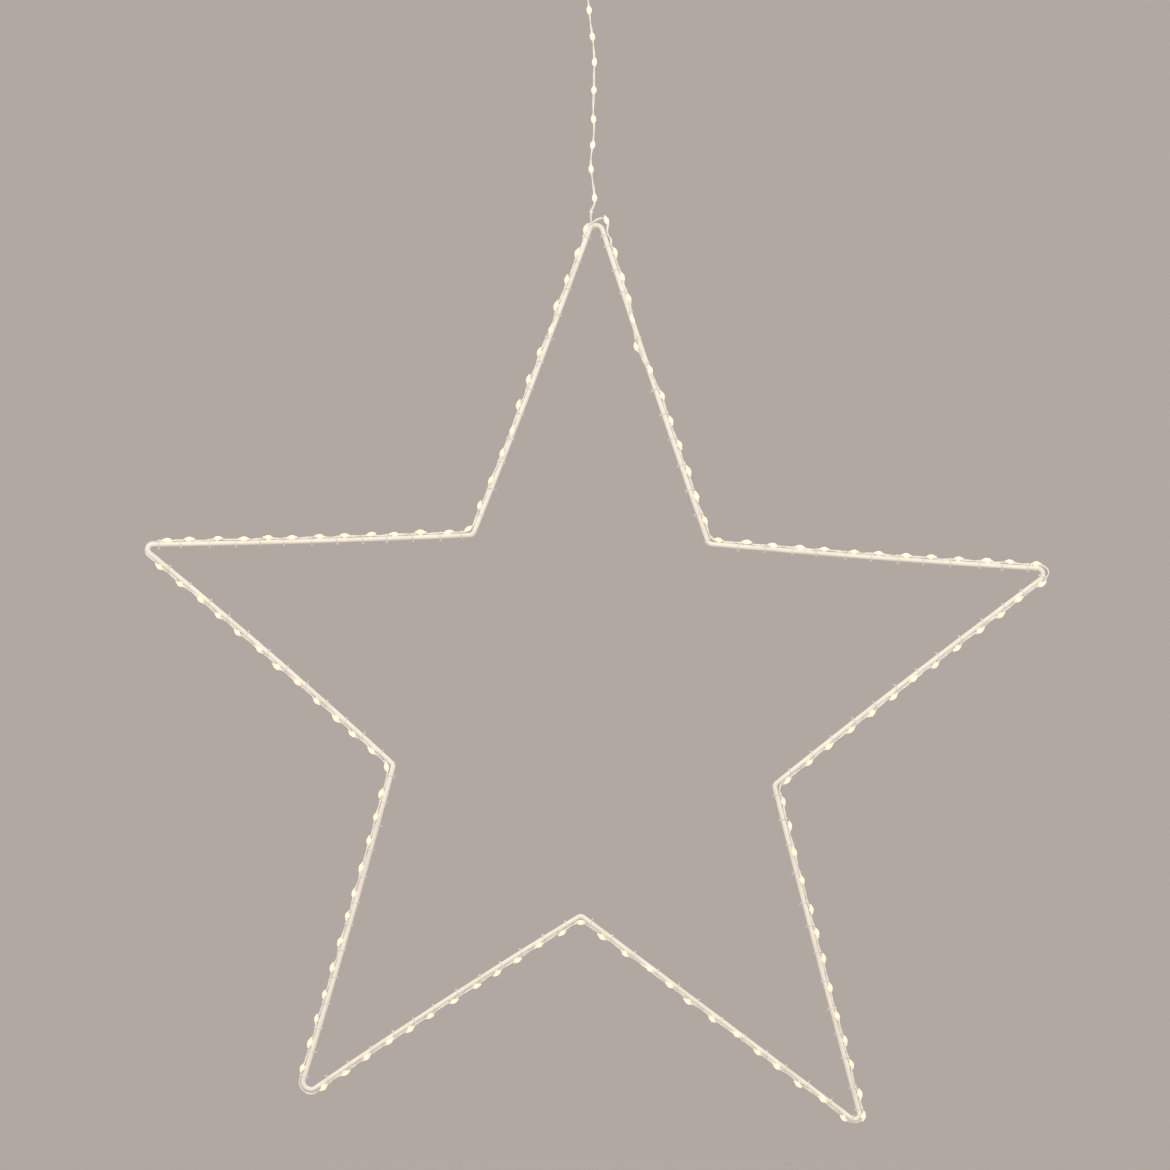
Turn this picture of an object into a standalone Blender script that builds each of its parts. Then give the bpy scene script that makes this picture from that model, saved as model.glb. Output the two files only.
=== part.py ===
"""A lit Christmas star that hangs from the ceiling.

A steel rod is bent into a five-pointed outline. A string of light drops runs along its outer side, held by
thread ties, and comes in at the top tip from the lead that the star hangs on. The lead rises to a loop in a
steel ring, the ring hangs on a wire hook, and the hook sits in a stick-on ceiling base.

Units are metres. +Z is up, the star stands in the XZ plane and its front faces -Y. The origin is the middle
of the flat face that sticks to the ceiling, so everything hangs below it.
"""

import math

import bmesh
import bpy
import numpy as np
from mathutils import Vector

# The gap that touching pieces keep
SEAT_GAP = 0.0003
QUARTER_TURN = math.pi / 2
HALF_TURN = math.pi
FULL_TURN = 2 * math.pi
SMOOTHING = 16

# Stick-on ceiling base
PAD_DIAMETER = 0.0360
PAD_THICKNESS = 0.0012
BASE_DIAMETER = 0.0400
BASE_THICKNESS = 0.0030
BASE_EDGE_ROUNDING = 0.0012
BOSS_DIAMETER = 0.0100
BOSS_HEIGHT = 0.0025
SOCKET_FLOOR = 0.0012

# Wire hook
HOOK_WIRE = 0.0030
HOOK_BOW_RADIUS = 0.0062
HOOK_SHANK_BELOW_BOSS = 0.0030
HOOK_NECK_HEIGHT = 0.0080
HOOK_TIP_RISE = 0.0020
HOOK_NECK_STEPS = 8
HOOK_BOW_STEPS = 12

# Steel ring on the hook
RING_WIRE = 0.0030
RING_RADIUS = 0.0065
RING_STEPS = 24

# Steel rod of the star
ROD_DIAMETER = 0.0030
TIP_REACH = 0.3147
NOTCH_REACH = 0.1317
TIP_BEND = 0.0040
NOTCH_BEND = 0.0032
TIP_CORNER_BELOW_LEAD = 0.0012
# Each tip and notch of the hand-bent outline, clockwise from the top as seen from the front
TIP_REACH_SHARES = (1.019, 0.988, 1.019, 0.998, 0.983)
TIP_TURNS_DEG = (0.6, 73.1, 146.9, 217.0, 290.1)
TIP_BEND_SHARES = (1.10, 0.97, 0.83, 1.25, 0.80)
NOTCH_REACH_SHARES = (0.994, 0.967, 1.006, 1.002, 1.032)
NOTCH_TURNS_DEG = (35.3, 112.3, 182.9, 254.5, 325.9)
# How far the middle of each leg bows inwards, as a share of the leg
LEG_BOW_SHARES = (0.0026, 0.0036, 0.0044, 0.0015, 0.0006, 0.0066, 0.0047, 0.0067, 0.0038, 0.0031)
TIP_ARC_STEPS = 6
NOTCH_ARC_STEPS = 4
LEG_STEPS = 4

# Light string along the rod
STRAND_DIAMETER = 0.0009
STRAND_STANDOFF = 0.00266
STRAND_NOTCH_BEND = 0.0070
DROP_LENGTH = 0.0050
DROP_DIAMETER = 0.0032
STRING_START_BEFORE_TIP = 0.0036
STRING_END_STUB = 0.0005
# Where the drops of each leg lie, as shares of the rod's leg
LEG_DROP_SHARES = (
    (0.033, 0.126, 0.198, 0.264, 0.325, 0.402, 0.477, 0.557, 0.631, 0.705, 0.785, 0.860, 0.933),
    (0.028, 0.110, 0.187, 0.266, 0.336, 0.421, 0.495, 0.573, 0.646, 0.725, 0.809, 0.875, 0.950),
    (0.052, 0.131, 0.197, 0.270, 0.350, 0.430, 0.504, 0.579, 0.656, 0.732, 0.812, 0.883, 0.962),
    (0.052, 0.123, 0.198, 0.280, 0.367, 0.434, 0.511, 0.595, 0.676, 0.749, 0.819, 0.907, 0.970),
    (0.061, 0.140, 0.221, 0.300, 0.367, 0.445, 0.527, 0.611, 0.681, 0.754, 0.836, 0.916, 0.995),
    (0.074, 0.151, 0.231, 0.300, 0.373, 0.454, 0.536, 0.607, 0.678, 0.759, 0.839, 0.915),
    (0.092, 0.167, 0.237, 0.312, 0.391, 0.471, 0.547, 0.613, 0.691, 0.771, 0.843, 0.912, 0.994),
    (0.077, 0.152, 0.220, 0.298, 0.378, 0.454, 0.527, 0.610, 0.686, 0.756, 0.834, 0.914),
    (0.081, 0.147, 0.233, 0.313, 0.386, 0.457, 0.540, 0.616, 0.694, 0.765, 0.843, 0.926, 0.995),
    (0.087, 0.168, 0.251, 0.322, 0.400, 0.478, 0.562, 0.634, 0.706, 0.786, 0.870, 0.945),
)
# A drop's stations from its middle to both ends, and how thick it is there
DROP_STATION_SHARES = (-1.0, -0.62, 0.0, 0.62, 1.0)
DROP_THICKNESS_SHARES = (0.0, 0.78, 1.0, 0.78, 0.0)
STRAND_SIDES = 6
# Where the string strays over the rod's front: round which drop of which leg, how far round the rod it gets,
# and the length of its way there
STRAY_LEG = 0
STRAY_DROP = 5
STRAY_TURN_DEG = 150
STRAY_REACH = 0.0238

# Thread ties that bind the string to the rod
TIE_THREAD = 0.0007
TIE_KNOT = 0.0013
TIE_DROP_SHARES = (0.3, 0.7)
TIE_SIDES = 5
TIE_ROD_STEPS = 6
TIE_STRAND_STEPS = 2

# Lead that the star hangs on
LEAD_DIAMETER = 0.0012
LEAD_FALL = 0.1700
LEAD_SWAY = 0.0022
LEAD_STEP = 0.0027
LEAD_LOOP_STEPS = 3
LOOP_WAIST_REACH = 0.0025
TAIL_REACH = 0.0046
TAIL_BEND_BELOW_RING = 0.0141
# The lead's own course from the knot up to its loop tie: sideways and down, as shares of its sway and fall
LEAD_RISE_SHARES = (
    (0.00, 1.000),
    (0.91, 0.978),
    (0.95, 0.950),
    (0.64, 0.911),
    (0.14, 0.865),
    (-0.14, 0.819),
    (0.18, 0.774),
    (0.68, 0.729),
    (0.82, 0.683),
    (0.59, 0.638),
    (0.64, 0.592),
    (0.77, 0.547),
    (0.82, 0.490),
    (0.95, 0.441),
    (0.64, 0.376),
    (0.23, 0.331),
    (-0.23, 0.288),
    (-0.55, 0.251),
    (-0.86, 0.206),
    (-1.00, 0.135),
    (-0.82, 0.065),
)
LEAD_BEAD_COUNT = 9
LEAD_BEAD_PITCH = 0.0175
FIRST_BEAD_ABOVE_KNOT = 0.0072
BEAD_LENGTH = 0.0050
BEAD_DIAMETER = 0.0034
BEAD_END_WALL = 0.0003
BEAD_LENGTH_SHARES = (-1.0, -0.6, 0.0, 0.6, 1.0)
BEAD_WALL_SHARES = (0.0, 0.75, 1.0, 0.75, 0.0)
BEAD_SIDES = 8
LOOP_TIE_BELOW_RING = 0.0111
LOOP_TIE_HALF_SPREAD = 0.0010
LOOP_TIE_THREAD = 0.0010
LOOP_TIE_KNOT = 0.0018

# Knot where the lead ends, and the wires that run on from it to the string
KNOT_DIAMETER = 0.0022
KNOT_HEIGHT = 0.0020
# The knot's outline: its radius and how far down it lies
KNOT_OUTLINE_SHARES = ((0.0, 0.0), (0.5, 0.0), (1.0, 0.3), (1.0, 0.7), (0.5, 1.0), (0.0, 1.0))
KNOT_SIDES = 10
LEAD_IN_SIDEWAYS = 0.0009
LEAD_IN_STEP = 0.0012

# Low-voltage plug on the tail of the lead
PLUG_X = 0.0058
PLUG_BELOW_RING = 0.0161
RELIEF_LENGTH = 0.0070
RELIEF_TOP_DIAMETER = 0.0022
RELIEF_BOTTOM_DIAMETER = 0.0042
RELIEF_RIB_COUNT = 3
RELIEF_GROOVE_DEPTH = 0.0004
# Each rib's stations along its pitch, and how much of the groove's depth they have
RIB_STATION_SHARES = ((0.50, 0.0), (0.65, 1.0), (0.85, 1.0), (1.00, 0.0))
HOUSING_LENGTH = 0.0130
HOUSING_DIAMETER = 0.0074
HOUSING_EDGE = 0.0010
HOUSING_WAIST_DEPTH = 0.0004
HOUSING_WAIST_SHARES = (0.30, 0.70)
PIN_DIAMETER = 0.0012
PIN_LENGTH = 0.0080
PIN_SEAT_DEPTH = 0.0030
PIN_SPACING = 0.0032
PIN_POINT = 0.0004
PLUG_SIDES = 20
PIN_SIDES = 10

# Sizes that follow from the ones above
PAD_BOTTOM_Z = -PAD_THICKNESS
BASE_TOP_Z = PAD_BOTTOM_Z - SEAT_GAP
BASE_BOTTOM_Z = BASE_TOP_Z - BASE_THICKNESS
BOSS_BOTTOM_Z = BASE_BOTTOM_Z - BOSS_HEIGHT
SOCKET_TOP_Z = BASE_TOP_Z - SOCKET_FLOOR
HOOK_BOW_CENTRE_Z = BOSS_BOTTOM_Z - HOOK_SHANK_BELOW_BOSS - HOOK_NECK_HEIGHT
HOOK_BOTTOM_Z = HOOK_BOW_CENTRE_Z - HOOK_BOW_RADIUS
RING_TOP_Z = HOOK_BOTTOM_Z + HOOK_WIRE / 2 + SEAT_GAP + RING_WIRE / 2
RING_CENTRE_Z = RING_TOP_Z - RING_RADIUS
RING_BOTTOM_Z = RING_CENTRE_Z - RING_RADIUS
LEAD_OVER_RING = RING_WIRE / 2 + SEAT_GAP + LEAD_DIAMETER / 2
LEAD_LOOP_REACH = LEAD_OVER_RING / math.cos(math.pi / LEAD_LOOP_STEPS / 2)
LOOP_TIE_Z = RING_BOTTOM_Z - LOOP_TIE_BELOW_RING
LEAD_END_Z = LOOP_TIE_Z - LEAD_FALL
PLUG_TOP_Z = RING_BOTTOM_Z - PLUG_BELOW_RING
STAR_CENTRE_Z = LEAD_END_Z - TIP_CORNER_BELOW_LEAD - TIP_REACH * TIP_REACH_SHARES[0]
STAR_CENTRE = Vector((0, 0, STAR_CENTRE_Z))
FRONT = Vector((0, -1, 0))

# The lead's route, (x, z), from the knot on the star up to the loop in the ring
LEAD_RISE = (
    *((LEAD_SWAY * sideways, LOOP_TIE_Z - LEAD_FALL * down) for sideways, down in LEAD_RISE_SHARES),
    (-LOOP_TIE_HALF_SPREAD, LOOP_TIE_Z),
    (-LOOP_WAIST_REACH, RING_BOTTOM_Z - RING_WIRE),
    (-LEAD_LOOP_REACH, RING_BOTTOM_Z),
)
# And from the loop down to the plug
LEAD_TAIL = (
    (LEAD_LOOP_REACH, RING_BOTTOM_Z),
    (LOOP_WAIST_REACH, RING_BOTTOM_Z - RING_WIRE),
    (LOOP_TIE_HALF_SPREAD, LOOP_TIE_Z),
    (TAIL_REACH, RING_BOTTOM_Z - TAIL_BEND_BELOW_RING),
    (PLUG_X, PLUG_TOP_Z + SEAT_GAP),
)


# Materials


def finish(name, colour, roughness, metallic=0.0, glow=0.0):
    """One plain material with the finish's colour, roughness and metallic value."""
    material = bpy.data.materials.new(name)
    material.use_nodes = True
    shader = material.node_tree.nodes["Principled BSDF"]
    shader.inputs["Base Color"].default_value = (*colour, 1)
    shader.inputs["Roughness"].default_value = roughness
    shader.inputs["Metallic"].default_value = metallic
    if glow:
        shader.inputs["Emission Color"].default_value = (*colour, 1)
        shader.inputs["Emission Strength"].default_value = glow
    return material


# Shapes that the pieces share


def clear_scene():
    for obj in list(bpy.data.objects):
        bpy.data.objects.remove(obj, do_unlink=True)


def add_object(name, data, material, smooth_below_deg=50):
    """Links an object that holds data, with its material, round faces shaded smooth."""
    obj = bpy.data.objects.new(name, data)
    data.materials.append(material)
    bpy.context.scene.collection.objects.link(obj)
    if obj.type == "MESH":
        data.shade_smooth()
        data.set_sharp_from_angle(angle=math.radians(smooth_below_deg))
    return obj


def mesh_of(name, work):
    """Closes a bmesh into a mesh whose faces point outwards."""
    bmesh.ops.recalc_face_normals(work, faces=work.faces)
    mesh = bpy.data.meshes.new(name)
    work.to_mesh(mesh)
    work.free()
    return mesh


def lofted(name, rings, material, closed=False):
    """A skin over rings of points that all have the same count: capped at its ends, or closed into a loop."""
    work = bmesh.new()
    loops = [[work.verts.new(point) for point in ring] for ring in rings]
    sides = len(loops[0])
    following = loops[1:] + loops[:1] if closed else loops[1:]
    for loop, after in zip(loops, following):
        for i in range(sides):
            j = (i + 1) % sides
            work.faces.new((loop[i], loop[j], after[j], after[i]))
    if not closed:
        work.faces.new(loops[0])
        work.faces.new(loops[-1])
    return add_object(name, mesh_of(name, work), material)


def ring_of(centre, along, across, radius_along, radius_across, sides):
    """Points of an ellipse round centre, in the plane of the two directions."""
    return [
        centre
        + along * (radius_along * math.cos(FULL_TURN * i / sides))
        + across * (radius_across * math.sin(FULL_TURN * i / sides))
        for i in range(sides)
    ]


def turned(name, profile, material, sides, centre=(0, 0, 0), closed_profile=False):
    """A solid turned round a vertical axis through centre, from (radius, height) points."""
    work = bmesh.new()
    verts = [work.verts.new((radius, 0, height)) for radius, height in profile]
    edges = [work.edges.new(pair) for pair in zip(verts, verts[1:])]
    if closed_profile:
        edges.append(work.edges.new((verts[-1], verts[0])))
    bmesh.ops.spin(
        work,
        geom=verts + edges,
        cent=(0, 0, 0),
        axis=(0, 0, 1),
        angle=FULL_TURN,
        steps=sides,
        use_merge=True,
    )
    bmesh.ops.remove_doubles(work, verts=work.verts, dist=SEAT_GAP / sides**2)
    obj = add_object(name, mesh_of(name, work), material)
    obj.location = centre
    return obj


def tube(name, points, diameter, material, closed=False, resolution=2):
    """A round wire along points, given from the object's own origin."""
    curve = bpy.data.curves.new(name, "CURVE")
    curve.dimensions = "3D"
    curve.bevel_depth = diameter / 2
    curve.bevel_resolution = resolution
    curve.use_fill_caps = not closed
    spline = curve.splines.new("POLY")
    spline.points.add(len(points) - 1)
    for spot, point in zip(spline.points, points):
        spot.co = (*point, 1)
    spline.use_cyclic_u = closed
    spline.use_smooth = True
    return add_object(name, curve, material)


def smooth_line(points, step, before=None, after=None):
    """Points a step apart on a smooth curve through the given ones, on its way from one place to another."""
    before = before or 2 * points[0] - points[1]
    after = after or 2 * points[-1] - points[-2]
    known = [before, *points, after]
    fine = []
    for prior, start, end, later in zip(known, known[1:], known[2:], known[3:]):
        for k in range(SMOOTHING):
            t = k / SMOOTHING
            bend = 2 * prior - 5 * start + 4 * end - later
            twist = 3 * start - prior - 3 * end + later
            fine.append(start + ((end - prior) * t + bend * t**2 + twist * t**3) / 2)
    fine.append(points[-1])
    fine = np.array([tuple(point) for point in fine])
    reach = np.concatenate([[0], np.cumsum(np.linalg.norm(np.diff(fine, axis=0), axis=1))])
    at = np.linspace(0, reach[-1], round(reach[-1] / step) + 1)
    return [Vector([np.interp(s, reach, axis) for axis in fine.T]) for s in at]


def bound_loop(name, material, first, second, across, thread, knot):
    """A thread pulled round two round things, with its knot on the far side of the first.

    Each of the two is its centre, the radius of the thread's middle round it, and the steps of its arc. The
    thread lies in the plane of the line through both centres and the direction across.
    """
    (centre_a, radius_a, steps_a), (centre_b, radius_b, steps_b) = first, second
    towards = (centre_b - centre_a).normalized()
    lean = math.asin((radius_a - radius_b) / (centre_b - centre_a).length)
    facing = towards.cross(across)
    rings = []
    for i in range(steps_a + 1):
        turn = QUARTER_TURN - lean + (HALF_TURN + 2 * lean) * i / steps_a
        share = max(0, 1 - abs(i - steps_a / 2))
        extra = (knot - thread) * share / 2
        out = towards * math.cos(turn) + across * math.sin(turn)
        centre = centre_a + out * (radius_a + extra)
        rings.append(ring_of(centre, out, facing, thread / 2 + extra, thread / 2 + extra, TIE_SIDES))
    for i in range(steps_b + 1):
        turn = lean - QUARTER_TURN + (HALF_TURN - 2 * lean) * i / steps_b
        out = towards * math.cos(turn) + across * math.sin(turn)
        rings.append(ring_of(centre_b + out * radius_b, out, facing, thread / 2, thread / 2, TIE_SIDES))
    return lofted(name, rings, material, closed=True)


# The star's outline


def from_centre(turn_deg, reach):
    """A point at this reach from the star's centre, turned clockwise from straight up."""
    turn = math.radians(turn_deg)
    return STAR_CENTRE + Vector((math.sin(turn), 0, math.cos(turn))) * reach


def rod_corners():
    """The ten corners of the rod's middle line, a tip and then a notch, clockwise from the top tip."""
    corners = []
    for k in range(len(TIP_TURNS_DEG)):
        corners.append(from_centre(TIP_TURNS_DEG[k], TIP_REACH * TIP_REACH_SHARES[k]))
        corners.append(from_centre(NOTCH_TURNS_DEG[k], NOTCH_REACH * NOTCH_REACH_SHARES[k]))
    return corners


def outward(start, end):
    """The direction square to a leg, away from the star's inside."""
    return FRONT.cross(end - start).normalized()


def moved_out(corners, standoff):
    """The corners of an outline that runs a standoff outside the given one."""
    moved = []
    for k, corner in enumerate(corners):
        before, after = corners[k - 1], corners[(k + 1) % len(corners)]
        side_a, side_b = outward(before, corner), outward(corner, after)
        moved.append(corner + (side_a + side_b) * (standoff / (1 + side_a.dot(side_b))))
    return moved


class Outline:
    """A closed outline with rounded corners and slightly bowed legs, measured from its top tip on.

    The legs bow like those of the outline given as `beside`, so that both stay the same distance apart.
    """

    def __init__(self, corners, bends, beside=None):
        self.count = len(corners)
        self.ways, self.starts, self.spans = [], [], []
        points, middles = [], []
        for k, corner in enumerate(corners):
            before, after = corners[k - 1], corners[(k + 1) % self.count]
            past = corners[(k + 2) % self.count]
            way_in, way_out = (corner - before).normalized(), (after - corner).normalized()
            turn, next_turn = way_in.angle(way_out), way_out.angle((past - after).normalized())
            centre = corner + (way_out - way_in).normalized() * (bends[k] / math.cos(turn / 2))
            first = corner - way_in * (bends[k] * math.tan(turn / 2))
            leg_start = corner + way_out * (bends[k] * math.tan(turn / 2))
            leg_end = after - way_out * (bends[(k + 1) % self.count] * math.tan(next_turn / 2))
            self.ways.append(way_out)
            self.starts.append(leg_start)
            self.spans.append((leg_end - leg_start).length)
            steps = NOTCH_ARC_STEPS if k % 2 else TIP_ARC_STEPS
            middles.append(len(points) + steps // 2)
            for i in range(steps + 1):
                part = turn * i / steps
                arc = (first - centre) * math.cos(part) + way_in * (bends[k] * math.sin(part))
                points.append(centre + arc)
            bow = outward(corner, after) * (LEG_BOW_SHARES[k] * (after - corner).length)
            for i in range(1, LEG_STEPS):
                point = leg_start.lerp(leg_end, i / LEG_STEPS)
                points.append(point - bow * (beside or self).fullness(k, point))
        top = middles[0]
        self.points = points[top:] + points[:top]
        self.middles = [middle - top for middle in middles] + [len(points)]
        self.closed = np.array([tuple(point) for point in self.points + self.points[:1]])
        steps = np.linalg.norm(np.diff(self.closed, axis=0), axis=1)
        self.reach = np.concatenate([[0], np.cumsum(steps)])
        self.length = self.reach[-1]

    def fullness(self, k, point):
        """How much of a leg's bow there is beside a point: none at the leg's ends, all of it halfway."""
        share = (point - self.starts[k]).dot(self.ways[k]) / self.spans[k]
        return max(0, 4 * share * (1 - share))

    def point_at(self, distance):
        return Vector([np.interp(distance % self.length, self.reach, axis) for axis in self.closed.T])

    def at(self, distance):
        """The point, direction and outward side at a distance along the outline."""
        near = STRAND_DIAMETER / 2
        way = (self.point_at(distance + near) - self.point_at(distance - near)).normalized()
        return self.point_at(distance), way, FRONT.cross(way)

    def beside_leg(self, k, spot):
        """The distance along the outline of the place on leg k that lies beside a spot."""
        leg = slice(self.middles[k], self.middles[k + 1] + 1)
        along = self.closed[leg] @ np.array(self.ways[k])
        return np.interp(spot.dot(self.ways[k]), along, self.reach[leg])


def rod_outline():
    bends = []
    for share in TIP_BEND_SHARES:
        bends += [TIP_BEND * share, NOTCH_BEND]
    return Outline(rod_corners(), bends)


def strand_outline(rod):
    bends = []
    for share in TIP_BEND_SHARES:
        bends += [TIP_BEND * share + STRAND_STANDOFF, STRAND_NOTCH_BEND]
    return Outline(moved_out(rod_corners(), STRAND_STANDOFF), bends, beside=rod)


# Ceiling base, hook and ring


def make_pad(material):
    radius = PAD_DIAMETER / 2
    profile = [(0, 0), (radius, 0), (radius, PAD_BOTTOM_Z), (0, PAD_BOTTOM_Z)]
    return turned("adhesive_pad", profile, material, sides=40)


def make_base(material):
    radius, boss = BASE_DIAMETER / 2, BOSS_DIAMETER / 2
    socket = HOOK_WIRE / 2 + SEAT_GAP
    profile = [(0, BASE_TOP_Z), (radius, BASE_TOP_Z)]
    for i in range(4):
        turn = QUARTER_TURN * i / 3
        profile.append(
            (
                radius - BASE_EDGE_ROUNDING * (1 - math.cos(turn)),
                BASE_BOTTOM_Z + BASE_EDGE_ROUNDING * (1 - math.sin(turn)),
            )
        )
    profile += [
        (boss + BOSS_HEIGHT / 2, BASE_BOTTOM_Z),
        (boss, BASE_BOTTOM_Z - BOSS_HEIGHT / 2),
        (boss - BOSS_HEIGHT / 4, BOSS_BOTTOM_Z),
        (socket, BOSS_BOTTOM_Z),
        (socket, SOCKET_TOP_Z),
        (0, SOCKET_TOP_Z),
    ]
    return turned("hook_base", profile, material, sides=40)


def make_hook(material):
    """The shank, an S-shaped neck to one side, and a bow whose lowest point lies under the shank."""
    neck_top = BOSS_BOTTOM_Z - HOOK_SHANK_BELOW_BOSS
    points = [Vector((0, 0, SOCKET_TOP_Z - SEAT_GAP))]
    for i in range(HOOK_NECK_STEPS + 1):
        share = i / HOOK_NECK_STEPS
        sideways = HOOK_BOW_RADIUS * (1 - math.cos(math.pi * share)) / 2
        points.append(Vector((-sideways, 0, neck_top - HOOK_NECK_HEIGHT * share)))
    for i in range(1, HOOK_BOW_STEPS + 1):
        turn = math.pi * i / HOOK_BOW_STEPS
        across, down = -HOOK_BOW_RADIUS * math.cos(turn), HOOK_BOW_RADIUS * math.sin(turn)
        points.append(Vector((across, 0, HOOK_BOW_CENTRE_Z - down)))
    points.append(Vector((HOOK_BOW_RADIUS, 0, HOOK_BOW_CENTRE_Z + HOOK_TIP_RISE)))
    return tube("ceiling_hook", points, HOOK_WIRE, material)


def make_ring(material):
    """The ring stands across the hook, and its origin is the line in the hook that it swings on."""
    points = []
    for i in range(RING_STEPS):
        turn = FULL_TURN * i / RING_STEPS
        height = RING_CENTRE_Z + RING_RADIUS * math.cos(turn) - HOOK_BOTTOM_Z
        points.append(Vector((0, RING_RADIUS * math.sin(turn), height)))
    ring = tube("hanging_ring", points, RING_WIRE, material, closed=True)
    ring.location = (0, 0, HOOK_BOTTOM_Z)
    return ring


# Lead, with what is on it


def lead_line():
    """Points along the lead, from the knot up and over the ring's lower wire to the plug."""
    rise = [Vector((x, 0, z)) for x, z in LEAD_RISE]
    tail = [Vector((x, 0, z)) for x, z in LEAD_TAIL]
    loop = []
    for i in range(1, LEAD_LOOP_STEPS):
        turn = math.pi * i / LEAD_LOOP_STEPS
        spot = Vector((-math.cos(turn), 0, math.sin(turn)))
        loop.append(Vector((0, 0, RING_BOTTOM_Z)) + spot * LEAD_LOOP_REACH)
    rise = smooth_line(rise, LEAD_STEP, after=loop[0])
    tail = smooth_line(tail, LEAD_STEP, before=loop[-1])
    return rise + loop + tail


def place_on(line, distance):
    """The point and the direction at a distance along a line of points."""
    for start, end in zip(line, line[1:]):
        step = (end - start).length
        if distance <= step:
            return start.lerp(end, distance / step), (end - start).normalized()
        distance -= step
    return line[-1], (line[-1] - line[-2]).normalized()


def make_lead(material, pivot):
    lead = tube("lead_cord", [point - pivot for point in lead_line()], LEAD_DIAMETER, material)
    lead.location = pivot
    return lead


def make_beads(material):
    """The light drops on the lead: each is cast round it, with the lead running through."""
    line = lead_line()
    bore = LEAD_DIAMETER / 2 + SEAT_GAP
    wall = BEAD_DIAMETER / 2 - bore - BEAD_END_WALL
    profile = [(bore, BEAD_LENGTH / 2), (bore, -BEAD_LENGTH / 2)]
    for along, share in zip(BEAD_LENGTH_SHARES, BEAD_WALL_SHARES):
        profile.append((bore + BEAD_END_WALL + wall * share, along * BEAD_LENGTH / 2))
    beads = []
    for i in range(LEAD_BEAD_COUNT):
        name = f"lead_drop_{i + 1:02d}"
        spot, way = place_on(line, FIRST_BEAD_ABOVE_KNOT + i * LEAD_BEAD_PITCH)
        bead = turned(name, profile, material, BEAD_SIDES, centre=spot, closed_profile=True)
        bead.rotation_euler = way.to_track_quat("Z", "Y").to_euler()
        beads.append(bead)
    return beads


def make_loop_tie(material):
    """The thread that binds the lead to its own tail under the ring."""
    middle = Vector((0, 0, LOOP_TIE_Z))
    apart = Vector((LOOP_TIE_HALF_SPREAD, 0, 0))
    radius = LEAD_DIAMETER / 2 + SEAT_GAP + LOOP_TIE_THREAD / 2
    return bound_loop(
        "loop_tie",
        material,
        (middle - apart, radius, TIE_ROD_STEPS),
        (middle + apart, radius, TIE_ROD_STEPS),
        FRONT,
        LOOP_TIE_THREAD,
        LOOP_TIE_KNOT,
    )


def make_strain_relief(material):
    """A tapered sleeve with grooves round it, between the lead's tail and the plug."""
    taper = (RELIEF_BOTTOM_DIAMETER - RELIEF_TOP_DIAMETER) / 2
    profile = [(0, 0), (RELIEF_TOP_DIAMETER / 2, 0)]
    pitch = RELIEF_LENGTH / (RELIEF_RIB_COUNT + 1)
    for i in range(RELIEF_RIB_COUNT):
        for along_share, depth_share in RIB_STATION_SHARES:
            along = pitch * (i + along_share)
            radius = RELIEF_TOP_DIAMETER / 2 + taper * along / RELIEF_LENGTH
            profile.append((radius - RELIEF_GROOVE_DEPTH * depth_share, -along))
    profile += [(RELIEF_BOTTOM_DIAMETER / 2, -RELIEF_LENGTH), (0, -RELIEF_LENGTH)]
    return turned("plug_strain_relief", profile, material, PLUG_SIDES, centre=(PLUG_X, 0, PLUG_TOP_Z))


def make_housing(material):
    """The plug's body, with a waist to grip and two blind holes for its pins."""
    radius = HOUSING_DIAMETER / 2
    top = PLUG_TOP_Z - RELIEF_LENGTH - SEAT_GAP
    waist = radius - HOUSING_WAIST_DEPTH
    profile = [(0, 0), (radius - HOUSING_EDGE, 0), (radius, -HOUSING_EDGE)]
    for share in HOUSING_WAIST_SHARES:
        profile.append((waist, -HOUSING_LENGTH * share))
    profile += [(radius, -HOUSING_LENGTH + HOUSING_EDGE), (radius, -HOUSING_LENGTH), (0, -HOUSING_LENGTH)]
    housing = turned("plug_housing", profile, material, PLUG_SIDES, centre=(PLUG_X, 0, top))
    hole = PIN_DIAMETER / 2 + SEAT_GAP
    depth = PIN_SEAT_DEPTH + SEAT_GAP
    cutter_profile = [(0, depth), (hole, depth), (hole, -PIN_LENGTH), (0, -PIN_LENGTH)]
    for i, side in enumerate((-1, 1)):
        mouth = (PLUG_X, side * PIN_SPACING / 2, top - HOUSING_LENGTH)
        cutter = turned(f"pin_hole_cutter_{i + 1}", cutter_profile, material, PIN_SIDES, centre=mouth)
        cutter.hide_render = True
        cutter.display_type = "WIRE"
        cut = housing.modifiers.new("pin hole", "BOOLEAN")
        cut.operation = "DIFFERENCE"
        cut.solver = "EXACT"
        cut.object = cutter
    return housing


def make_pins(material):
    """The plug's two contact pins, seated in its blind holes."""
    seat_z = PLUG_TOP_Z - RELIEF_LENGTH - SEAT_GAP - HOUSING_LENGTH + PIN_SEAT_DEPTH
    radius = PIN_DIAMETER / 2
    profile = [
        (0, 0),
        (radius, 0),
        (radius, PIN_POINT - PIN_LENGTH),
        (radius - PIN_POINT / 2, -PIN_LENGTH),
        (0, -PIN_LENGTH),
    ]
    pins = []
    for i, side in enumerate((-1, 1)):
        seat = (PLUG_X, side * PIN_SPACING / 2, seat_z)
        pins.append(turned(f"plug_pin_{i + 1}", profile, material, PIN_SIDES, centre=seat))
    return pins


def knot_top():
    """The top of the knot, one gap below the lead's end: the star twists about the line through it."""
    return Vector((0, 0, LEAD_END_Z - SEAT_GAP))


def make_knot(material):
    """The knot in the lead's wires, from which the star hangs."""
    profile = [(KNOT_DIAMETER / 2 * out, -KNOT_HEIGHT * down) for out, down in KNOT_OUTLINE_SHARES]
    return turned("hanging_knot", profile, material, KNOT_SIDES, centre=knot_top())


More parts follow.
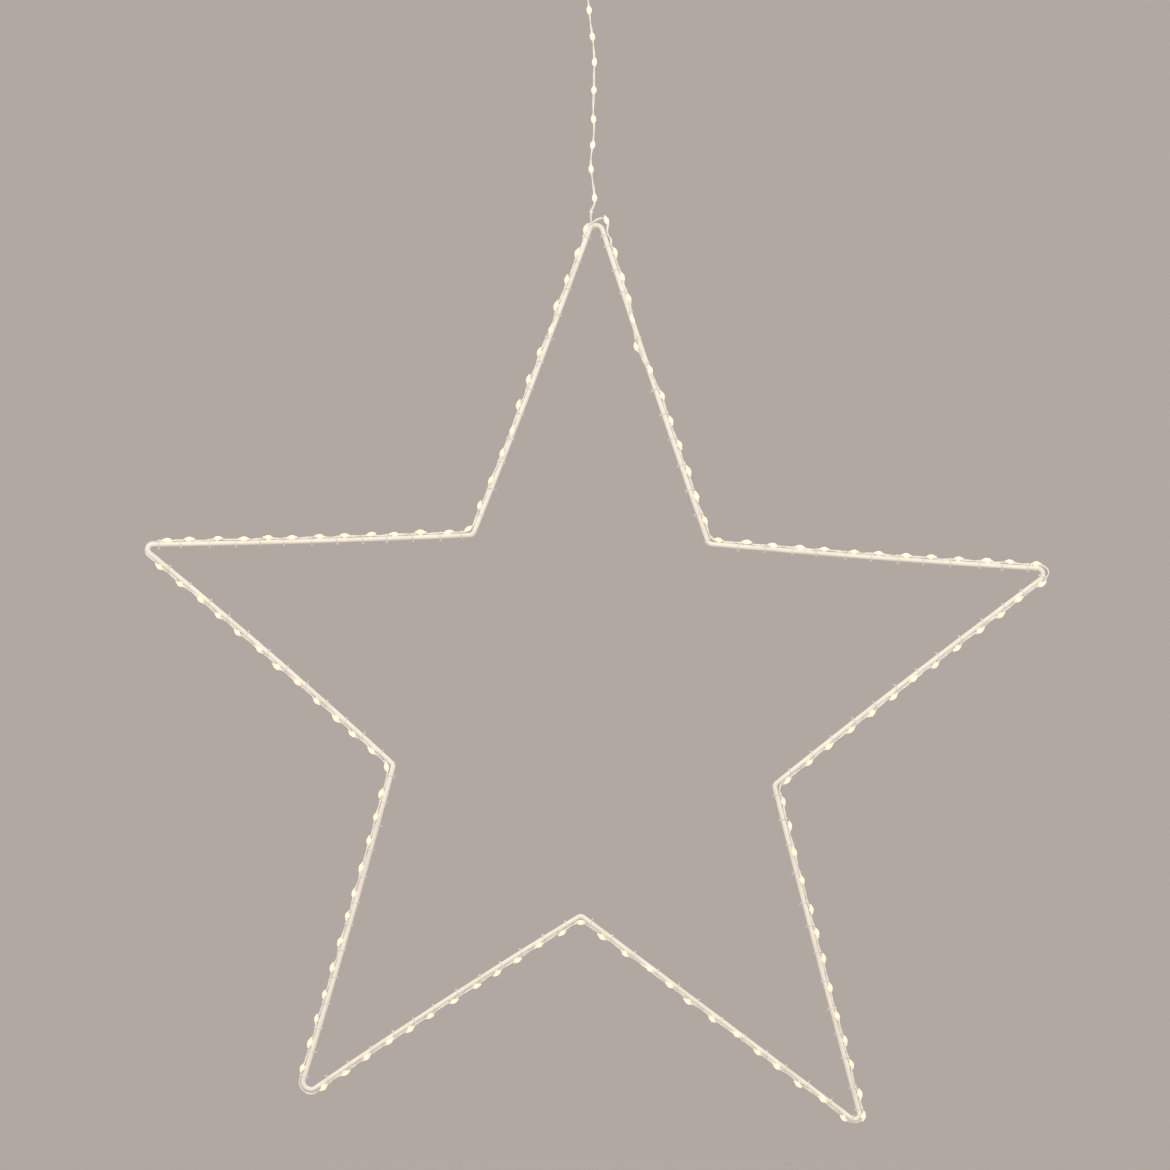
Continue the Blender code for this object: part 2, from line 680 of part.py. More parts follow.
def make_lead_in(material, strand):
    """The short wires from the knot to the start of the light string."""
    spot, _, out = strand.at(-STRING_START_BEFORE_TIP)
    start = knot_top() - Vector((0, 0, KNOT_HEIGHT + SEAT_GAP))
    end = spot + out * (STRAND_DIAMETER / 2 + SEAT_GAP)
    middle = start.lerp(end, 1 / 2) - Vector((LEAD_IN_SIDEWAYS, 0, 0))
    return tube("lead_in_wires", smooth_line([start, middle, end], LEAD_IN_STEP), STRAND_DIAMETER, material)


# The star


def make_rod(rod, material):
    return tube("star_frame", rod.points, ROD_DIAMETER, material, closed=True)


def drop_places(strand):
    """How far along the outline each drop lies, leg by leg."""
    corners = rod_corners()
    places = []
    for k, shares in enumerate(LEG_DROP_SHARES):
        leg = corners[k], corners[(k + 1) % strand.count]
        places.append([strand.beside_leg(k, leg[0].lerp(leg[1], share)) for share in shares])
    return places


def string_at(strand, places, distance):
    """The string's point, the side of the rod that it lies on, and the direction square to both it and its way.

    The string lies outside the rod, but on one stretch it strays over the rod's front.
    """
    spot, _, out = strand.at(distance)
    off = (distance - places[STRAY_LEG][STRAY_DROP]) / STRAY_REACH
    turn = math.radians(STRAY_TURN_DEG) * math.exp(-(off**2))
    side = out * math.cos(turn) + FRONT * math.sin(turn)
    facing = FRONT * math.cos(turn) - out * math.sin(turn)
    return spot + (side - out) * STRAND_STANDOFF, side, facing


def leg_span(places, k):
    """Where a leg's stretch of the string starts and ends along the outline."""
    start, end = -STRING_START_BEFORE_TIP, places[-1][-1] + DROP_LENGTH / 2 + STRING_END_STUB
    if k > 0:
        start = (places[k - 1][-1] + places[k][0] + SEAT_GAP) / 2
    if k < len(places) - 1:
        end = (places[k][-1] + places[k + 1][0] - SEAT_GAP) / 2
    return start, end


def make_string_leg(strand, places, k, material):
    """The strand along one leg with the drops cast on it, each standing out from the rod."""
    start, end = leg_span(places, k)
    thin, thick = STRAND_DIAMETER / 2, DROP_DIAMETER / 2
    shift = ROD_DIAMETER / 2 + SEAT_GAP + thick - STRAND_STANDOFF
    stations = [(start, 0), (end, 0)]
    bends = strand.reach[:-1]
    for bend in [*(bends - strand.length), *bends]:
        clear = min(abs(bend - drop) for drop in places[k]) > DROP_LENGTH / 2 + thin
        if start < bend < end and clear:
            stations.append((bend, 0))
    for drop in places[k]:
        for along, share in zip(DROP_STATION_SHARES, DROP_THICKNESS_SHARES):
            stations.append((drop + along * DROP_LENGTH / 2, share))
    if k == STRAY_LEG:
        stations += [((drop + after) / 2, 0) for drop, after in zip(places[k], places[k][1:])]
    rings = []
    for distance, share in sorted(stations):
        spot, side, facing = string_at(strand, places, distance)
        radius = thin + (thick - thin) * share
        rings.append(ring_of(spot + side * (shift * share), side, facing, radius, radius, STRAND_SIDES))
    return lofted(f"light_string_leg_{k + 1:02d}", rings, material)


def make_ties(strand, places, material):
    """Thread ties round the rod and the strand, each beside a drop."""
    on_rod = ROD_DIAMETER / 2 + SEAT_GAP + TIE_THREAD / 2
    on_strand = STRAND_DIAMETER / 2 + SEAT_GAP + TIE_THREAD / 2
    beside = DROP_LENGTH / 2 + SEAT_GAP + TIE_THREAD / 2
    ties = []
    for drops in places:
        for share in TIE_DROP_SHARES:
            spot, side, facing = string_at(strand, places, drops[round(share * (len(drops) - 1))] - beside)
            ties.append(
                bound_loop(
                    f"string_tie_{len(ties) + 1:02d}",
                    material,
                    (spot - side * STRAND_STANDOFF, on_rod, TIE_ROD_STEPS),
                    (spot, on_strand, TIE_STRAND_STEPS),
                    facing,
                    TIE_THREAD,
                    TIE_KNOT,
                )
            )
    return ties


def main():
    clear_scene()
    white_coat = finish("white powder coated steel", (0.86, 0.84, 0.80), 0.45)
    white_plastic = finish("white moulded plastic", (0.85, 0.85, 0.84), 0.40)
    foam = finish("white foam tape", (0.80, 0.80, 0.78), 0.90)
    steel = finish("zinc plated steel wire", (0.62, 0.63, 0.64), 0.30, metallic=1.0)
    wires = finish("clear coated fine wires", (0.72, 0.69, 0.63), 0.35, metallic=0.6)
    lit_drop = finish("lit epoxy drops", (1.0, 0.86, 0.62), 0.20, glow=2.0)
    thread = finish("clear nylon thread", (0.83, 0.82, 0.78), 0.30)
    brass = finish("plated brass pins", (0.80, 0.72, 0.48), 0.25, metallic=1.0)

    make_pad(foam)
    make_base(white_plastic)
    make_hook(steel)
    make_ring(steel)

    make_lead(wires, Vector((0, 0, RING_BOTTOM_Z)))
    make_beads(lit_drop)
    make_loop_tie(thread)
    make_strain_relief(white_plastic)
    make_housing(white_plastic)
    make_pins(brass)

    rod = rod_outline()
    strand = strand_outline(rod)
    places = drop_places(strand)
    make_knot(wires)
    make_lead_in(wires, strand)
    make_rod(rod, white_coat)
    for k in range(strand.count):
        make_string_leg(strand, places, k, lit_drop)
    make_ties(strand, places, thread)


main()
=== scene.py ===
"""A lit Christmas star on its lead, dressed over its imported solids.

The star is one white rod bent by hand into five points. Two fine wires run along its outer side, with a lit
epoxy drop cast round them every 17 mm and a clear thread tie beside each drop. The wires rise from the top
tip as the lead, go through a steel ring on a hook and end in a small plug.

Units are metres. +Z is up, the star stands in the XZ plane and its front faces -Y.
"""

import logging
import math
import random
from collections.abc import Callable, Iterable, Sequence
from dataclasses import dataclass, field
from enum import Enum
from functools import partial

import bmesh
import bpy
import numpy as np
from bmesh.types import BMesh
from bpy.types import Material, Mesh, Node, NodeSocket, NodeTree, Object
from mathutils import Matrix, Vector


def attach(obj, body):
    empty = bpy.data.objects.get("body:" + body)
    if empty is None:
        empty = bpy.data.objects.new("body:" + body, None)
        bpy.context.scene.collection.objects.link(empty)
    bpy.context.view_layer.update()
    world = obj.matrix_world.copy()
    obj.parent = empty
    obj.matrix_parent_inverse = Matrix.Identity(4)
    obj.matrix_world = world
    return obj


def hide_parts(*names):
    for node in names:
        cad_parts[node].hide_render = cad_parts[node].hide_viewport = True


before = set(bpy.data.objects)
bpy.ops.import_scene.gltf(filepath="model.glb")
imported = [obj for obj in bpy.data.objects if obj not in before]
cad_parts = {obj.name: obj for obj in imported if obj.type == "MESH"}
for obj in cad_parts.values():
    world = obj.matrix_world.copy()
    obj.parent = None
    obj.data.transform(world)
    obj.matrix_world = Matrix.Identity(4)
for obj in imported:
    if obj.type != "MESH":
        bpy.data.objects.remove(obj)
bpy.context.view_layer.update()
LOG = logging.getLogger("hanging_star")

FRONT = Vector((0.0, -1.0, 0.0))
SIDEWAYS = Vector((1.0, 0.0, 0.0))
UP = Vector((0.0, 0.0, 1.0))
MM = 0.001
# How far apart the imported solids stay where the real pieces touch
SEAT_GAP = 0.0003
# What the random sizes and turns of repeated pieces start from
PIECES_SEED = 11
# Two numbers that belong together, such as a point of a profile
Spot = tuple[float, float]


class Body(Enum):
    """The rigid bodies that the pieces ride on."""

    CEILING = "ceiling_fitting"
    RING = "ring"
    LEAD = "lead"
    STAR = "star"


# Small helpers for nodes, colours and objects


def linear(colour: str) -> tuple[float, float, float, float]:
    """Turns an sRGB hex colour into linear values.

    Args:
        colour: The colour as "#RRGGBB".

    Returns:
        Red, green, blue and an alpha of 1.
    """
    values = []
    for i in (1, 3, 5):
        value = int(colour[i : i + 2], 16) / 255
        values.append(value / 12.92 if value <= 0.04045 else ((value + 0.055) / 1.055) ** 2.4)
    return (*values, 1.0)


def connect(tree: NodeTree, node: Node, inputs: dict) -> None:
    """Gives a node's sockets their values and links.

    Args:
        tree: The tree that the node is in.
        node: The node.
        inputs: What each socket gets, by its name or its place: a value or another node's output.
    """
    for key, value in inputs.items():
        if isinstance(value, NodeSocket):
            tree.links.new(value, node.inputs[key])
        else:
            node.inputs[key].default_value = value


def add_node(tree: NodeTree, kind: str, inputs: dict | None = None, **settings: object) -> Node:
    """Adds a node with its settings, its values and its links.

    Args:
        tree: The shader or geometry tree that it goes into.
        kind: The node's type.
        inputs: What each socket gets, as connect takes it.
        settings: The node's own settings.

    Returns:
        The new node.
    """
    node = tree.nodes.new(kind)
    for name, value in settings.items():
        setattr(node, name, value)
    connect(tree, node, inputs or {})
    return node


def add_output(tree: NodeTree, kind: str, inputs: dict | None = None, **settings: object) -> NodeSocket:
    """Adds a node as add_node does, and gives its first output."""
    return add_node(tree, kind, inputs, **settings).outputs[0]


def link_object(name: str, data: bpy.types.ID) -> Object:
    """Puts data in the scene as an object at the origin.

    Args:
        name: The object's name.
        data: Its mesh, light or camera data.

    Returns:
        The object.
    """
    thing = bpy.data.objects.new(name, data)
    bpy.context.scene.collection.objects.link(thing)
    return thing


def mesh_from(name: str, work: BMesh, sharp_deg: float = 40.0) -> Mesh:
    """Closes a bmesh into a smooth-shaded mesh whose faces point outwards.

    Args:
        name: The mesh's name.
        work: The bmesh, which is freed.
        sharp_deg: Edges that turn by more than this stay sharp.

    Returns:
        The mesh.
    """
    bmesh.ops.recalc_face_normals(work, faces=work.faces)
    mesh = bpy.data.meshes.new(name)
    work.to_mesh(mesh)
    work.free()
    mesh.shade_smooth()
    mesh.set_sharp_from_angle(angle=math.radians(sharp_deg))
    return mesh


def nodes_named(start: str) -> list[str]:
    """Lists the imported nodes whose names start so."""
    return [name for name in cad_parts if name.startswith(start)]


# Finishes


@dataclass(frozen=True)
class Skin:
    """A finish's nodes while it is made."""

    finish: "Finish"
    tree: NodeTree
    shader: Node
    place: NodeSocket

    def set(self, inputs: dict) -> None:
        """Gives the shader's sockets their values and links."""
        connect(self.tree, self.shader, inputs)

    def grain(self, size_mm: float, detail: float = 2.0) -> NodeSocket:
        """Draws noise with lumps of this size, and this many finer steps, on the piece's own coordinates."""
        noise = {"Vector": self.place, "Scale": 1 / (size_mm * MM), "Detail": detail}
        return add_node(self.tree, "ShaderNodeTexNoise", noise).outputs["Fac"]

    def mottle(self, other: str, fac: NodeSocket, low: float, high: float) -> None:
        """Mixes the finish's colour with another one.

        Args:
            other: The other colour.
            fac: What decides between them.
            low: Where it starts to leave the main colour.
            high: Where it is all the other colour.
        """
        ends = {"Value": fac, "From Min": low, "From Max": high}
        ramp = add_output(self.tree, "ShaderNodeMapRange", ends)
        colours = {"Factor": ramp, 6: linear(self.finish.colour), 7: linear(other)}
        self.set({"Base Color": add_node(self.tree, "ShaderNodeMix", colours, data_type="RGBA").outputs[2]})

    def relief(self, height: NodeSocket, depth_mm: float, strength: float) -> None:
        """Turns a height from 0 to 1 into fine relief, this deep and this strong."""
        bump = {"Height": height, "Distance": depth_mm * MM, "Strength": strength}
        self.set({"Normal": add_output(self.tree, "ShaderNodeBump", bump)})

    def roughen(self, fac: NodeSocket, less: float, more: float) -> None:
        """Lets the roughness vary.

        Args:
            fac: What it varies with.
            less: How far it goes below the finish's own roughness.
            more: How far it goes above it.
        """
        rough = self.finish.roughness
        ends = {"Value": fac, "To Min": rough - less, "To Max": rough + more}
        self.set({"Roughness": add_output(self.tree, "ShaderNodeMapRange", ends)})


@dataclass(frozen=True)
class Finish:
    """What every finish has: its name, its slot in the record if any, its main colour and its gloss."""

    name: str
    slot: str | None
    colour: str
    roughness: float
    metallic: float = 0.0

    def material(self) -> Material:
        """Makes the finish as a node material.

        Returns:
            The material.
        """
        material = bpy.data.materials.new(self.name)
        material.use_nodes = True
        tree = material.node_tree
        place = add_node(tree, "ShaderNodeTexCoord").outputs["Object"]
        skin = Skin(self, tree, tree.nodes["Principled BSDF"], place)
        skin.set({"Base Color": linear(self.colour), "Roughness": self.roughness, "Metallic": self.metallic})
        self.detail(skin)
        return material

    def detail(self, skin: Skin) -> None:
        """Adds what is special to the finish. Each finish has its own."""


@dataclass(frozen=True)
class PowderCoat(Finish):
    """Polyester powder coat baked on steel rod: an even satin skin with a fine orange peel."""

    shade: str = "#EAE0CF"
    cloud_mm: float = 26.0
    # A real orange peel is about 0.3 mm: drawn twice as coarse so that it shows
    peel_mm: float = 0.6

    def detail(self, skin: Skin) -> None:
        """Clouds the white slightly and gives it the peel.

        Args:
            skin: The finish's nodes.
        """
        skin.mottle(self.shade, skin.grain(self.cloud_mm), low=0.48, high=0.78)
        skin.relief(skin.grain(self.peel_mm), depth_mm=0.04, strength=0.5)
        skin.roughen(skin.grain(self.cloud_mm / 4), less=0.08, more=0.10)


@dataclass(frozen=True)
class EnamelledWire(Finish):
    """Silvered copper wire under clear enamel: bright, slightly warm, duller where it was handled."""

    dull: str = "#F7EEDF"
    handled_mm: float = 9.0
    # The die's real marks are finer than 0.1 mm: drawn coarser so that they show
    drawn_mm: float = 0.25

    def detail(self, skin: Skin) -> None:
        """Dulls it in patches and leaves the fine marks of the die.

        Args:
            skin: The finish's nodes.
        """
        skin.mottle(self.dull, skin.grain(self.handled_mm), low=0.45, high=0.80)
        skin.relief(skin.grain(self.drawn_mm), depth_mm=0.01, strength=0.4)
        skin.set({"Coat Weight": 0.5, "Coat Roughness": 0.12})


@dataclass(frozen=True)
class LitEpoxy(Finish):
    """A clear epoxy drop round a lit chip: white where the chip sits, warmer towards its ends."""

    core: str = "#FFEEDA"
    rim: str = "#FFE4C0"
    core_strength: float = 0.36
    rim_strength: float = 0.17
    ripple_mm: float = 1.6

    def detail(self, skin: Skin) -> None:
        """Lets the drop glow by how far it is from its chip.

        Args:
            skin: The finish's nodes.
        """
        glow = add_node(skin.tree, "ShaderNodeAttribute", attribute_name="glow").outputs["Fac"]
        colours = {"Factor": glow, 6: linear(self.rim), 7: linear(self.core)}
        colour = add_node(skin.tree, "ShaderNodeMix", colours, data_type="RGBA").outputs[2]
        ends = {"Value": glow, "To Min": self.rim_strength, "To Max": self.core_strength}
        strength = add_output(skin.tree, "ShaderNodeMapRange", ends)
        skin.set({"Emission Color": colour, "Emission Strength": strength})
        skin.set({"IOR": 1.52, "Transmission Weight": 0.45})
        skin.relief(skin.grain(self.ripple_mm), depth_mm=0.05, strength=0.3)


@dataclass(frozen=True)
class Phosphor(Finish):
    """The yellow phosphor over a lit chip, seen as the brightest point inside its drop."""

    glow: float = 2.5
    thin: str = "#FFE9BE"
    patch_mm: float = 0.5

    def detail(self, skin: Skin) -> None:
        """Lights it, and lays the phosphor on a little unevenly."""
        skin.mottle(self.thin, skin.grain(self.patch_mm), low=0.3, high=0.7)
        skin.set({"Emission Color": linear(self.colour), "Emission Strength": self.glow})


@dataclass(frozen=True)
class NylonThread(Finish):
    """Clear nylon thread: milky where it is bent, with a soft shine and a light twist."""

    milky: str = "#FCFAF5"
    cloud_mm: float = 2.5
    twist_mm: float = 0.5

    def detail(self, skin: Skin) -> None:
        """Clouds the thread and twists its fibres.

        Args:
            skin: The finish's nodes.
        """
        skin.mottle(self.milky, skin.grain(self.cloud_mm), low=0.35, high=0.65)
        skin.relief(skin.grain(self.twist_mm), depth_mm=0.04, strength=0.6)
        skin.set({"IOR": 1.53, "Transmission Weight": 0.10})


@dataclass(frozen=True)
class MouldedPlastic(Finish):
    """White plastic from a spark-eroded mould: a fine even texture with a satin look."""

    shade: str = "#DDDAD4"
    cloud_mm: float = 14.0
    # The mould's real texture is about 0.1 mm: drawn coarser so that it shows
    texture_mm: float = 0.35

    def detail(self, skin: Skin) -> None:
        """Shades it slightly and adds the mould's texture."""
        skin.mottle(self.shade, skin.grain(self.cloud_mm), low=0.45, high=0.85)
        skin.relief(skin.grain(self.texture_mm, detail=3.0), depth_mm=0.03, strength=0.5)


@dataclass(frozen=True)
class FoamTape(Finish):
    """Closed-cell polyethylene foam: small cells and a dry, matt surface."""

    # A darker grey painted as shade in the foam's cells
    painted_cell_shade: str = "#B9B6AE"
    cell_mm: float = 0.7

    def detail(self, skin: Skin) -> None:
        """Draws the foam's cells, with painted shade darkening each cell towards its edge.

        Args:
            skin: The finish's nodes.
        """
        cells = {"Vector": skin.place, "Scale": 1 / (self.cell_mm * MM)}
        wall = add_node(skin.tree, "ShaderNodeTexVoronoi", cells).outputs["Distance"]
        # Painted shade: each cell turns darker towards its edge
        skin.mottle(self.painted_cell_shade, wall, low=0.5, high=0.9)
        skin.relief(wall, depth_mm=0.15, strength=0.8)


@dataclass(frozen=True)
class DrawnSteel(Finish):
    """Zinc plated drawn wire: bright grey with a faint blue cast and fine marks across the light."""

    cast: str = "#A9AFB6"
    patch_mm: float = 4.0
    # The die's real marks are finer than 0.1 mm: drawn coarser so that they show
    mark_mm: float = 0.3
    dull_mm: float = 1.2

    def detail(self, skin: Skin) -> None:
        """Casts it in patches and roughens it where the die left marks.

        Args:
            skin: The finish's nodes.
        """
        skin.mottle(self.cast, skin.grain(self.patch_mm), low=0.4, high=0.7)
        skin.relief(skin.grain(self.mark_mm, detail=4.0), depth_mm=0.02, strength=0.4)
        skin.roughen(skin.grain(self.dull_mm, detail=4.0), less=0.10, more=0.14)


@dataclass(frozen=True)
class TurnedBrass(Finish):
    """Nickel plated brass, turned on a lathe: warm grey with rings round it."""

    shade: str = "#C2B48C"
    # The tool's real rings are about 0.1 mm apart: drawn coarser so that they show
    ring_mm: float = 0.4
    # How far apart a wave texture's bands lie at a scale of 1
    wave_period: float = 0.314

    def detail(self, skin: Skin) -> None:
        """Leaves the tool's rings.

        Args:
            skin: The finish's nodes.
        """
        wave = {"Vector": skin.place, "Scale": self.wave_period / (self.ring_mm * MM)}
        rings = add_node(skin.tree, "ShaderNodeTexWave", wave, bands_direction="Z").outputs["Fac"]
        skin.mottle(self.shade, rings, low=0.2, high=1.0)
        skin.relief(rings, depth_mm=0.006, strength=0.25)


@dataclass(frozen=True)
class FloorPaint(Finish):
    """Matt emulsion on a plain floor, which isn't part of the object: unmarked, clear towards its edge."""

    fade_from: float = 0.55
    fade_to: float = 1.10

    def detail(self, skin: Skin) -> None:
        """Fades the floor into the backdrop.

        Args:
            skin: The finish's nodes.
        """
        spot = {0: skin.place, 1: (1, 1, 0)}
        flat = add_output(skin.tree, "ShaderNodeVectorMath", spot, operation="MULTIPLY")
        far = add_node(skin.tree, "ShaderNodeVectorMath", {0: flat}, operation="LENGTH").outputs["Value"]
        ends = {"Value": far, "From Min": self.fade_from, "From Max": self.fade_to}
        ends |= {"To Min": 1.0, "To Max": 0.0}
        fade = add_output(skin.tree, "ShaderNodeMapRange", ends, interpolation_type="SMOOTHSTEP")
        skin.set({"Alpha": fade})


POWDER_COAT = PowderCoat("white polyester powder coat", "white_coat", "#F7EEDF", roughness=0.40)
SILVERED_WIRE = EnamelledWire(
    "enamelled silvered copper wire", "coated_wires", "#FFFAF0", roughness=0.42, metallic=0.06
)
LIT_EPOXY = LitEpoxy("lit clear epoxy", "lit_drops", "#FAEAD2", roughness=0.12)
PHOSPHOR = Phosphor("lit phosphor", "lit_drops", "#FFF0D0", roughness=0.6)
NYLON = NylonThread("clear nylon thread", "clear_thread", "#F4EFE4", roughness=0.34)
PLASTIC = MouldedPlastic("moulded white plastic", "white_plastic", "#EEECE7", roughness=0.38)
FOAM = FoamTape("polyethylene foam tape", "foam_tape", "#D9D7D0", roughness=0.92)
STEEL = DrawnSteel("zinc plated drawn steel", "steel_wire", "#C3C6CA", roughness=0.30, metallic=1.0)
BRASS = TurnedBrass("nickel plated turned brass", "pin_metal", "#D2C39A", roughness=0.26, metallic=1.0)
FLOOR_PAINT = FloorPaint("pale floor paint", None, "#B1A8A1", roughness=0.9)


# Meshes that several pieces share


def lathe(name: str, profile: Sequence[Spot], sides: int, centre: Vector, sharp_deg: float = 40.0) -> Mesh:
    """Turns a profile round the vertical line through a point.

    Args:
        name: The mesh's name.
        profile: Radius and height of each point, from the axis on, and back to it where the mesh is closed.
        sides: How many sides the turned piece has.
        centre: The point that the heights start from.
        sharp_deg: Edges that turn by more than this stay sharp.

    Returns:
        The mesh.
    """
    work = bmesh.new()
    rings = []
    for radius, height in profile:
        middle = centre + UP * height
        turns = [2 * math.pi * i / sides for i in range(sides if radius else 1)]
        spots = [middle + Vector((math.cos(t), math.sin(t), 0)) * radius for t in turns]
        rings.append([work.verts.new(spot) for spot in spots])
    for low, high in zip(rings, rings[1:]):
        for i in range(sides):
            j = (i + 1) % sides
            corners = [low[i % len(low)], low[j % len(low)], high[j % len(high)], high[i % len(high)]]
            work.faces.new(dict.fromkeys(corners))
    return mesh_from(name, work, sharp_deg)


def tube(work: BMesh, centres: Sequence[Vector], radii: Sequence[float], sides: int, hint: Vector) -> None:
    """Adds a round, capped tube to a bmesh.

    Args:
        work: The bmesh.
        centres: The points along the tube's middle.
        radii: Its radius at each.
        sides: How many sides it has.
        hint: A direction that is never along the tube.
    """
    turns = [2 * math.pi * k / sides for k in range(sides)]
    rings = []
    for i, (centre, radius) in enumerate(zip(centres, radii)):
        way = (centres[min(i + 1, len(centres) - 1)] - centres[max(i - 1, 0)]).normalized()
        across = way.cross(hint).normalized()
        up = across.cross(way)
        spots = [centre + (across * math.cos(t) + up * math.sin(t)) * radius for t in turns]
        rings.append([work.verts.new(spot) for spot in spots])
    for low, high in zip(rings, rings[1:]):
        for i in range(sides):
            j = (i + 1) % sides
            work.faces.new((low[i], low[j], high[j], high[i]))
    work.faces.new(rings[0])
    work.faces.new(rings[-1])


def rounded(points: Sequence[Spot], corner: float, steps: int = 4) -> list[Spot]:
    """Rounds every inner corner of a profile.

    Args:
        points: The profile.
        corner: How far from each corner its rounding starts, at most half of a side.
        steps: How many steps each rounding has.

    Returns:
        The rounded profile.
    """
    line = [Vector((*point, 0)) for point in points]
    made = [points[0]]
    for before, here, after in zip(line, line[1:], line[2:]):
        back, on = before - here, after - here
        start = here + back.normalized() * min(corner, back.length / 2)
        end = here + on.normalized() * min(corner, on.length / 2)
        for i in range(steps + 1):
            t = i / steps
            spot = start * (1 - t) ** 2 + here * (2 * t * (1 - t)) + end * t**2
            made.append((spot.x, spot.y))
    return [*made, points[-1]]


def quarter(corner: Spot, size: Spot, steps: int) -> list[Spot]:
    """Rounds one corner of a profile by a quarter of an ellipse.

    Args:
        corner: The corner.
        size: How far the rounding goes from it, across and up, with their signs.
        steps: How many steps it has.

    Returns:
        The points, from the one above or below the corner to the one beside it.
    """
    turns = [math.pi / 2 * i / steps for i in range(steps + 1)]
    shares = [(1 - math.cos(turn), 1 - math.sin(turn)) for turn in turns]
    return [(corner[0] + size[0] * across, corner[1] + size[1] * up) for across, up in shares]


def even_line(points: Sequence[Vector], step: float) -> list[Vector]:
    """Sets points a step apart along a line of points.

    Args:
        points: The line.
        step: How far apart the new points are.

    Returns:
        The new points, from the line's first to its last.
    """
    line = np.array([tuple(point) for point in points])
    reach = np.concatenate([[0], np.cumsum(np.linalg.norm(np.diff(line, axis=0), axis=1))])
    at = np.linspace(0, reach[-1], round(reach[-1] / step) + 1)
    return [Vector([float(np.interp(s, reach, axis)) for axis in line.T]) for s in at]


def smooth_line(
    points: Sequence[Vector], step: float, before: Vector | None = None, after: Vector | None = None
) -> list[Vector]:
    """Sets points a step apart on a smooth curve through the given ones.

    Args:
        points: The points that the curve goes through.
        step: How far apart the new points are.
        before: Where the curve comes from, if anywhere.
        after: Where it goes on to, if anywhere.

    Returns:
        The new points.
    """
    parts = 16
    known = [before or 2 * points[0] - points[1], *points, after or 2 * points[-1] - points[-2]]
    fine = []
    for prior, start, end, later in zip(known, known[1:], known[2:], known[3:]):
        bend = 2 * prior - 5 * start + 4 * end - later
        twist = 3 * start - prior - 3 * end + later
        for k in range(parts):
            t = k / parts
            fine.append(start + ((end - prior) * t + bend * t**2 + twist * t**3) / 2)
    fine.append(points[-1])
    return even_line(fine, step)


# Thread that ties and binds


def belt(apart: float, radius_a: float, radius_b: float, steps: int) -> list[Spot]:
    """Pulls a band round two circles in their plane.

    Args:
        apart: How far the second circle's centre lies from the first's.
        radius_a: The band's radius round the first.
        radius_b: The band's radius round the second.
        steps: How many steps each of the two arcs has.

    Returns:
        The points, from the far side of the second circle round the first and back.
    """
    lean = math.asin((radius_a - radius_b) / apart)
    arc_a, arc_b = [], []
    for i in range(steps + 1):
        turn = math.pi / 2 - lean + (math.pi + 2 * lean) * i / steps
        arc_a.append((radius_a * math.cos(turn), radius_a * math.sin(turn)))
        turn = lean - math.pi / 2 + (math.pi - 2 * lean) * i / steps
        arc_b.append((apart + radius_b * math.cos(turn), radius_b * math.sin(turn)))
    return arc_b[steps // 2 :] + arc_a + arc_b[: steps // 2]


def wind(
    work: BMesh, centre: Vector, band: Sequence[Spot], turns: int, pitch: float, radius: float, sides: int
) -> None:
    """Winds a thread along a band, turn beside turn.

    Args:
        work: The bmesh that it is added to.
        centre: The middle of the winding.
        band: One turn's points, level round the centre.
        turns: How many turns there are.
        pitch: How far apart they lie.
        radius: The thread's radius.
        sides: How many sides the thread has.
    """
    points = []
    for i in range(turns * len(band) + 1):
        points.append(centre + Vector((*band[i % len(band)], pitch * (i / len(band) - turns / 2))))
    tube(work, points, [radius] * len(points), sides, UP)


# A knot's lumps: along and across
KNOT_SHARES = ((-1.0, 0.4), (-0.5, 0.95), (0.1, 0.8), (0.55, 1.0), (1.0, 0.4))


def tie_knot(work: BMesh, middle: Vector, grain: Vector, radius: float, sides: int, hint: Vector) -> None:
    """Pulls a thread's knot tight.

    Args:
        work: The bmesh that it is added to.
        middle: The knot's middle.
        grain: From there to its end.
        radius: Its radius where it is thickest.
        sides: How many sides it has.
        hint: A direction that is never along the grain.
    """
    line = [middle + grain * along for along, _ in KNOT_SHARES]
    radii = [radius * across for _, across in KNOT_SHARES]
    tube(work, line, radii, sides, hint)


# Geometry nodes


def new_tree(
    name: str, sockets: Iterable[tuple[str, str]]
) -> tuple[NodeTree, bpy.types.bpy_prop_collection]:
    """Starts a geometry tree with named inputs.

    Args:
        name: The tree's name.
        sockets: The name and the type of each input.

    Returns:
        The tree, and its inputs as sockets to link from.
    """
    tree = bpy.data.node_groups.new(name, "GeometryNodeTree")
    tree.interface.new_socket("Geometry", in_out="OUTPUT", socket_type="NodeSocketGeometry")
    for socket, kind in (("Geometry", "Geometry"), *sockets):
        tree.interface.new_socket(socket, in_out="INPUT", socket_type=f"NodeSocket{kind}")
    return tree, add_node(tree, "NodeGroupInput").outputs


def close_tree(tree: NodeTree, parts: Iterable[NodeSocket], material: NodeSocket) -> None:
    """Joins the parts, makes them real, and gives them their material.

    Args:
        tree: The tree.
        parts: The geometries that it made.
        material: The material input.
    """
    joined = add_node(tree, "GeometryNodeJoinGeometry")
    for part in parts:
        tree.links.new(part, joined.inputs[0])
    real = add_output(tree, "GeometryNodeRealizeInstances", {0: joined.outputs[0]})
    dressed = add_output(tree, "GeometryNodeSetMaterial", {"Geometry": real, "Material": material})
    add_node(tree, "NodeGroupOutput", {0: dressed})


